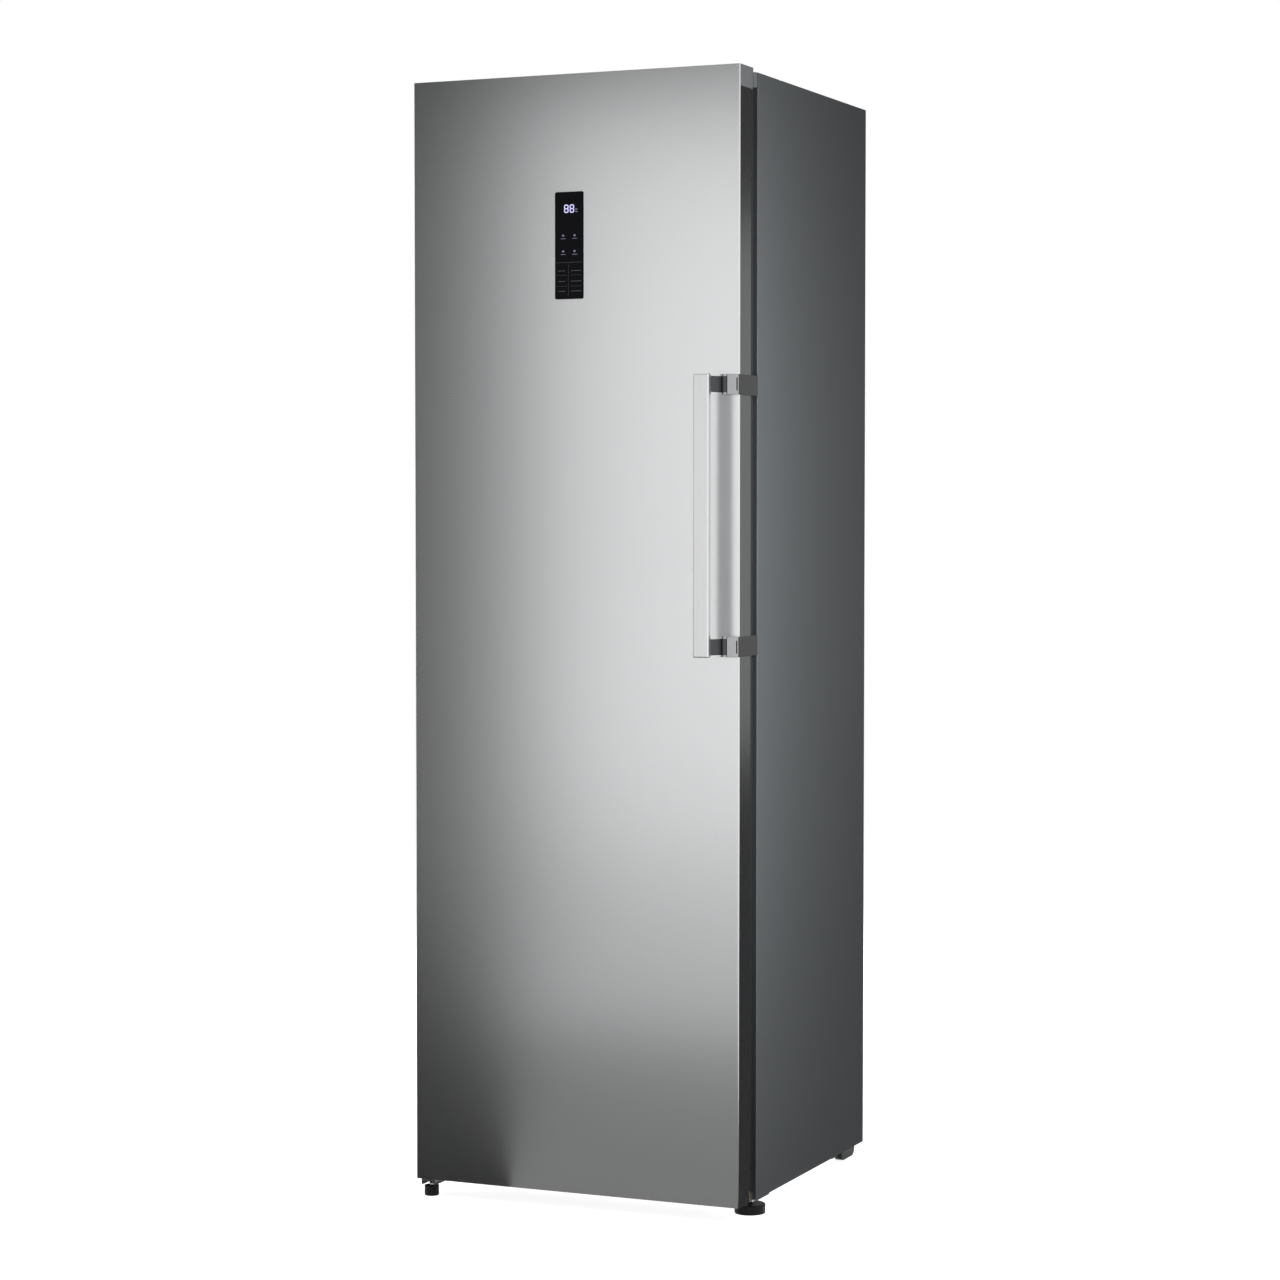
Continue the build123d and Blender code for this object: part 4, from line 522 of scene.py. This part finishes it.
class FREEZER_OT_display(bpy.types.Operator):
    """Models the two digits, status marks and key marks of the display"""
    bl_idname = "freezer.display"
    bl_label = "Display marks"

    def execute(self, context):
        sizes = context.scene.freezer_display
        low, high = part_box("display_glass")
        self.middle = (low.x + high.x) / 2
        self.top = high.z
        self.front = low.y
        self.proud = sizes.proud
        lit = glowing("lit_marks", context.scene.freezer_finish.digits, 1.1)
        dim = glowing("dim_marks", (0.42, 0.42, 0.62), 0.42)
        # painted light: the printed key marks glow faintly, though they are print and not lamps
        key_print_glow = glowing("printed_marks", (0.20, 0.20, 0.21), 0.10)
        width, height, stroke = sizes.digit_width, sizes.digit_height, sizes.stroke
        digits = []
        for side in (-1, 1):
            digits += self.digit(side * DIGIT_APART * width, DIGIT_DROP * MM, width, height, stroke)
        self.keep(digits, "display_digits", lit)
        marks = [self.mark(*(value * MM for value in mark)) for mark in UNIT_MARKS]
        lower, wide, high = FLAKE_LINE
        for x, drop in FLAKES:
            marks += self.flake(x * MM, drop * MM)
            marks.append(self.mark(x * MM, (drop + lower) * MM, wide * MM, high * MM))
        self.keep(marks, "display_status_marks", dim)
        lines = [self.mark(*(value * MM for value in mark)) for mark in KEY_FRAME]
        rule_wide, rule_high = KEY_RULE
        for x, label in KEY_COLUMNS:
            lines += [self.mark(x * MM, drop * MM, rule_wide * MM, rule_high * MM) for drop in KEY_RULES]
            lines += [self.mark(x * MM, drop * MM, label * MM, KEY_LABEL_HEIGHT * MM) for drop in KEY_LABELS]
        self.keep(lines, "display_key_marks", key_print_glow)
        return {"FINISHED"}

    def mark(self, x, drop, width, height):
        """A flat mark at a place on the glass."""
        centre = (self.middle + x, self.front - self.proud / 2, self.top + drop)
        return bar(centre, (width, self.proud, height), min(width, height) * 0.3)

    def digit(self, x, drop, width, height, stroke):
        """Seven segments of one digit."""
        half_height = (height - stroke) / 2
        half_width = (width - stroke) / 2
        flat = [self.mark(x, drop + step * half_height, width - 1.4 * stroke, stroke) for step in (-1, 0, 1)]
        upright = [self.mark(x + side * half_width, drop + half * half_height / 2, stroke, half_height - 0.5 * stroke)
                   for side in (-1, 1) for half in (-1, 1)]
        return flat + upright

    def flake(self, x, drop):
        """A small cross of three strokes."""
        strokes = []
        centre = Vector((self.middle + x, self.front - self.proud / 2, self.top + drop))
        for turn in range(3):
            stroke = self.mark(x, drop, *(value * MM for value in FLAKE_STROKE))
            deselect()
            stroke.select_set(True)
            bpy.context.view_layer.objects.active = stroke
            bpy.ops.object.transform_apply(location=True, rotation=True, scale=True)
            bpy.ops.object.mode_set(mode="EDIT")
            bpy.ops.mesh.select_all(action="SELECT")
            bpy.ops.transform.rotate(value=math.radians(60 * turn), orient_axis="Y", center_override=centre)
            bpy.ops.object.mode_set(mode="OBJECT")
            strokes.append(stroke)
        return strokes

    def keep(self, parts, name, finish):
        """Joins the marks and lets them ride on the door."""
        piece = join(parts, name, finish)
        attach(piece, "door")


class FREEZER_OT_handle(bpy.types.Operator):
    """Finishes the bar, arms, clamps and pushers"""
    bl_idname = "freezer.handle"
    bl_label = "Handle finishes"

    def execute(self, context):
        dress(brushed("bar_aluminium", (0.93, 0.935, 0.94), 0.30, "Z", 1900.0), "handle_bar")
        dress(brushed("clamp_metal", (0.44, 0.445, 0.45), 0.17, "Z", 1500.0, 5e-7, 0.05), "handle_clamps")
        # painted reflection: the arms' metal is written far darker than the clamps' so that it stands for the dark
        # surroundings mirrored in the arms
        dress(brushed("arm_metal", (0.085, 0.087, 0.09), 0.22, "Z", 1500.0, 5e-7, 0.05), "handle_arms")
        dress(drawn("pin_steel", (0.62, 0.62, 0.63), 0.26, (0.45, 0.45, 0.44)), "handle_pins", "handle_springs")
        dress(moulded("pusher_plastic", (0.018, 0.018, 0.02), 0.42), "pusher_lower", "pusher_upper")
        return {"FINISHED"}


class FREEZER_OT_cabinet(bpy.types.Operator):
    """Finishes the cabinet's outside, hinges and supports"""
    bl_idname = "freezer.cabinet"
    bl_label = "Cabinet finishes"

    def execute(self, context):
        colours = context.scene.freezer_finish
        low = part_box("side_panel_right")[0]
        sides = painted("side_paint", colours.side_paint, 0.44, 0.18)
        # painted shade: the side panels' front flange, inside the gap to the door, is recoloured with the dark frame
        # colour
        sides.recolour(low.y + SHADED_FLANGE_DEPTH - sides.along("Y") > 0.0, colours.frame)
        dress(sides, "side_panel_left", "side_panel_right")
        dress(painted("top_paint", colours.side_paint, 0.44, 0.18), "top_panel")
        dress(painted("frame_paint", colours.frame, 0.44), "base_crossmember")
        dress(moulded("cover_plastic", colours.cap, 0.48), "top_front_cover", "top_hinge_cover")
        dress(galvanised("zinc_sheet", (0.55, 0.56, 0.57), 0.42), "back_panel", "base_panel", "compressor_deck",
              "rear_cover")
        dress(drawn("bracket_zinc", (0.62, 0.63, 0.64), 0.36, (0.50, 0.48, 0.40)), "top_hinge_bracket",
              "bottom_hinge_bracket", "foot_bracket_right", "cabinet_screws")
        dress(drawn("bright_steel", (0.66, 0.66, 0.67), 0.22, (0.5, 0.5, 0.49)), "hinge_pins")
        dress(moulded("foot_plastic", (0.006, 0.006, 0.007), 0.5, Specular_IOR_Level=0.15), "foot_left", "foot_right",
              "roller_housings")
        dress(moulded("roller_plastic", (0.05, 0.05, 0.052), 0.36), "roller_left", "roller_right")
        dress(foamed("wall_foam", (0.72, 0.60, 0.36)), "cabinet_foam")
        return {"FINISHED"}


class FREEZER_OT_inside(bpy.types.Operator):
    """Finishes the liner, shelves, drawers and lamp"""
    bl_idname = "freezer.inside"
    bl_label = "Inside finishes"

    def execute(self, context):
        colours = context.scene.freezer_finish
        dress(moulded("white_liner", colours.liner, 0.30, 900.0, 5e-6, 0.03), "inner_liner", "air_duct_cover")
        dress(clear("shelf_glass", (0.90, 0.96, 0.94), 0.03, 1.5), "glass_shelves")
        dress(moulded("shelf_trim_grey", (0.56, 0.57, 0.58), 0.34), "shelf_trims")
        drawers = sorted(name for name in NODES if name.startswith("drawer_"))
        dress(clear("drawer_plastic", (0.86, 0.92, 0.96), 0.12, 1.46, 0.92, 8e-6), *drawers)
        dress(moulded("lamp_lens", (0.84, 0.84, 0.81), 0.30), "lamp_lens")
        return {"FINISHED"}


class FREEZER_OT_cold_side(bpy.types.Operator):
    """Finishes the evaporator, fan and drain"""
    bl_idname = "freezer.cold_side"
    bl_label = "Cold side finishes"

    def execute(self, context):
        dress(drawn("fin_aluminium", (0.74, 0.75, 0.76), 0.34, (0.60, 0.61, 0.62)), "evaporator")
        dress(drawn("heater_sheath", (0.58, 0.57, 0.56), 0.32, (0.40, 0.36, 0.30)), "defrost_heater")
        dress(moulded("fan_plastic", (0.022, 0.022, 0.024), 0.42), "fan_motor", "fan_impeller", "drain_tube")
        return {"FINISHED"}


class FREEZER_OT_machine(bpy.types.Operator):
    """Finishes what stands in the machine compartment"""
    bl_idname = "freezer.machine"
    bl_label = "Machine compartment finishes"

    def execute(self, context):
        dress(painted("shell_enamel", (0.010, 0.010, 0.011), 0.22, 0.5, 380.0, 1.5e-5), "compressor")
        dress(painted("coil_enamel", (0.014, 0.014, 0.015), 0.34, 0.45, 500.0), "condenser")
        dress(moulded("mount_rubber", (0.020, 0.020, 0.021), 0.68), "compressor_grommets")
        dress(moulded("tray_plastic", (0.030, 0.031, 0.033), 0.40), "drip_tray", "control_box", "power_inlet")
        dress(drawn("line_copper", (0.72, 0.36, 0.20), 0.30, (0.42, 0.19, 0.11)), "refrigerant_lines")
        return {"FINISHED"}


class FREEZER_OT_stage(bpy.types.Operator):
    """Sets up the floor, surround, lamps, cards and camera"""
    bl_idname = "freezer.stage"
    bl_label = "Studio"

    def execute(self, context):
        studio = context.scene.freezer_studio
        self.surround(context, studio.surround)
        self.floor(studio.surround)
        for name, place, turn, size, level in CARDS:
            self.card(name, place, turn, size, getattr(studio, level))
        for name, place, aim, size in LAMPS:
            self.lamp(name, place, aim, size, getattr(studio, name + "_power"))
        self.camera(context, studio.lens)
        context.scene.view_settings.view_transform = "Standard"
        return {"FINISHED"}

    def surround(self, context, level):
        """White to the camera, in gloss and through glass, and a plain level for the rest."""
        world = bpy.data.worlds.new("studio_surround")
        context.scene.world = world
        world.use_nodes = True
        nodes = Nodes(world.node_tree)
        background = world.node_tree.nodes["Background"]
        nodes.feed(background.inputs["Color"], nodes.mix(nodes.seen(), (level, level, level, 1), (1, 1, 1, 1)))
        background.inputs["Strength"].default_value = 1.0

    def floor(self, level):
        """Wide pale floor that runs out to the surround's white and keeps the shadow."""
        deselect()
        bpy.ops.mesh.primitive_plane_add(size=FLOOR_SIZE, location=(0, 0, 0))
        floor = bpy.context.object
        lift = 1.0 - FLOOR_SHADE * level
        finish = Finish("pale_floor", (FLOOR_SHADE,) * 3, 0.9, 0.0, Specular_IOR_Level=0.0, Emission_Strength=1.0)
        glow = finish.mix(finish.seen(), (0, 0, 0, 1), (lift, lift, lift, 1))
        finish.feed(finish.shader.inputs["Emission Color"], glow)
        settle(floor, "floor", finish)

    def card(self, name, place, turn, size, level):
        """Grey card outside the picture, seen only in gloss, which shades the metal as in a dark-edged studio."""
        deselect()
        bpy.ops.mesh.primitive_plane_add(size=1, location=place, rotation=turn)
        card = bpy.context.object
        card.scale = (*size, 1)
        grey = Finish(name, (0, 0, 0), 1.0, 0.0, Specular_IOR_Level=0.0, Emission_Strength=1.0,
                      Emission_Color=(level, level, level, 1))
        settle(card, name, grey)
        for ray in ("camera", "diffuse", "shadow", "transmission"):
            setattr(card, "visible_" + ray, False)

    def lamp(self, name, place, aim, size, power):
        """Soft lamp of a width and height, aimed at a point, seen neither by the camera nor in gloss."""
        light = bpy.data.lights.new(name, "AREA")
        light.shape = "RECTANGLE"
        light.size, light.size_y = size
        light.energy = power
        lamp = bpy.data.objects.new(name, light)
        lamp.location = place
        lamp.rotation_euler = (Vector(aim) - Vector(place)).to_track_quat("-Z", "Y").to_euler()
        lamp.visible_camera = False
        lamp.visible_glossy = False
        bpy.context.scene.collection.objects.link(lamp)

    def camera(self, context, lens):
        """Camera at the photograph's place and angle."""
        data = bpy.data.cameras.new("camera")
        data.sensor_width = SENSOR_WIDTH
        data.lens = lens
        data.clip_end = 100
        camera = bpy.data.objects.new("camera", data)
        camera.location = CAMERA_PLACE
        camera.rotation_euler = CAMERA_TURN
        context.scene.collection.objects.link(camera)
        context.scene.camera = camera


OPERATORS = (FREEZER_OT_door, FREEZER_OT_seal, FREEZER_OT_display, FREEZER_OT_handle, FREEZER_OT_cabinet,
             FREEZER_OT_inside, FREEZER_OT_cold_side, FREEZER_OT_machine, FREEZER_OT_stage)


class FREEZER_PT_panel(bpy.types.Panel):
    """Lists the freezer's sizes, colours and steps"""
    bl_idname = "FREEZER_PT_panel"
    bl_label = "Upright freezer"
    bl_space_type = "VIEW_3D"
    bl_region_type = "UI"
    bl_category = PANEL_TAB

    def draw(self, context):
        for group in GROUPS:
            settings = getattr(context.scene, GROUPS[group])
            box = self.layout.box()
            for name in group.__annotations__:
                box.prop(settings, name)
        for operator in OPERATORS:
            self.layout.operator(operator.bl_idname)


GROUPS = {FreezerFinish: "freezer_finish", FreezerSeal: "freezer_seal", FreezerDisplay: "freezer_display",
          FreezerStudio: "freezer_studio"}


def register():
    """Registers the settings, operators and panel."""
    for group, name in GROUPS.items():
        bpy.utils.register_class(group)
        setattr(bpy.types.Scene, name, PointerProperty(type=group))
    for item in (*OPERATORS, FREEZER_PT_panel):
        bpy.utils.register_class(item)


def unregister():
    """Takes them out again."""
    for item in reversed((*OPERATORS, FREEZER_PT_panel)):
        bpy.utils.unregister_class(item)
    for group, name in GROUPS.items():
        delattr(bpy.types.Scene, name)
        bpy.utils.unregister_class(group)


def main():
    """Makes the whole scene."""
    register()
    for operator in OPERATORS:
        group, name = operator.bl_idname.split(".")
        getattr(getattr(bpy.ops, group), name)()
    deselect()


if __name__ == "__main__":
    main()
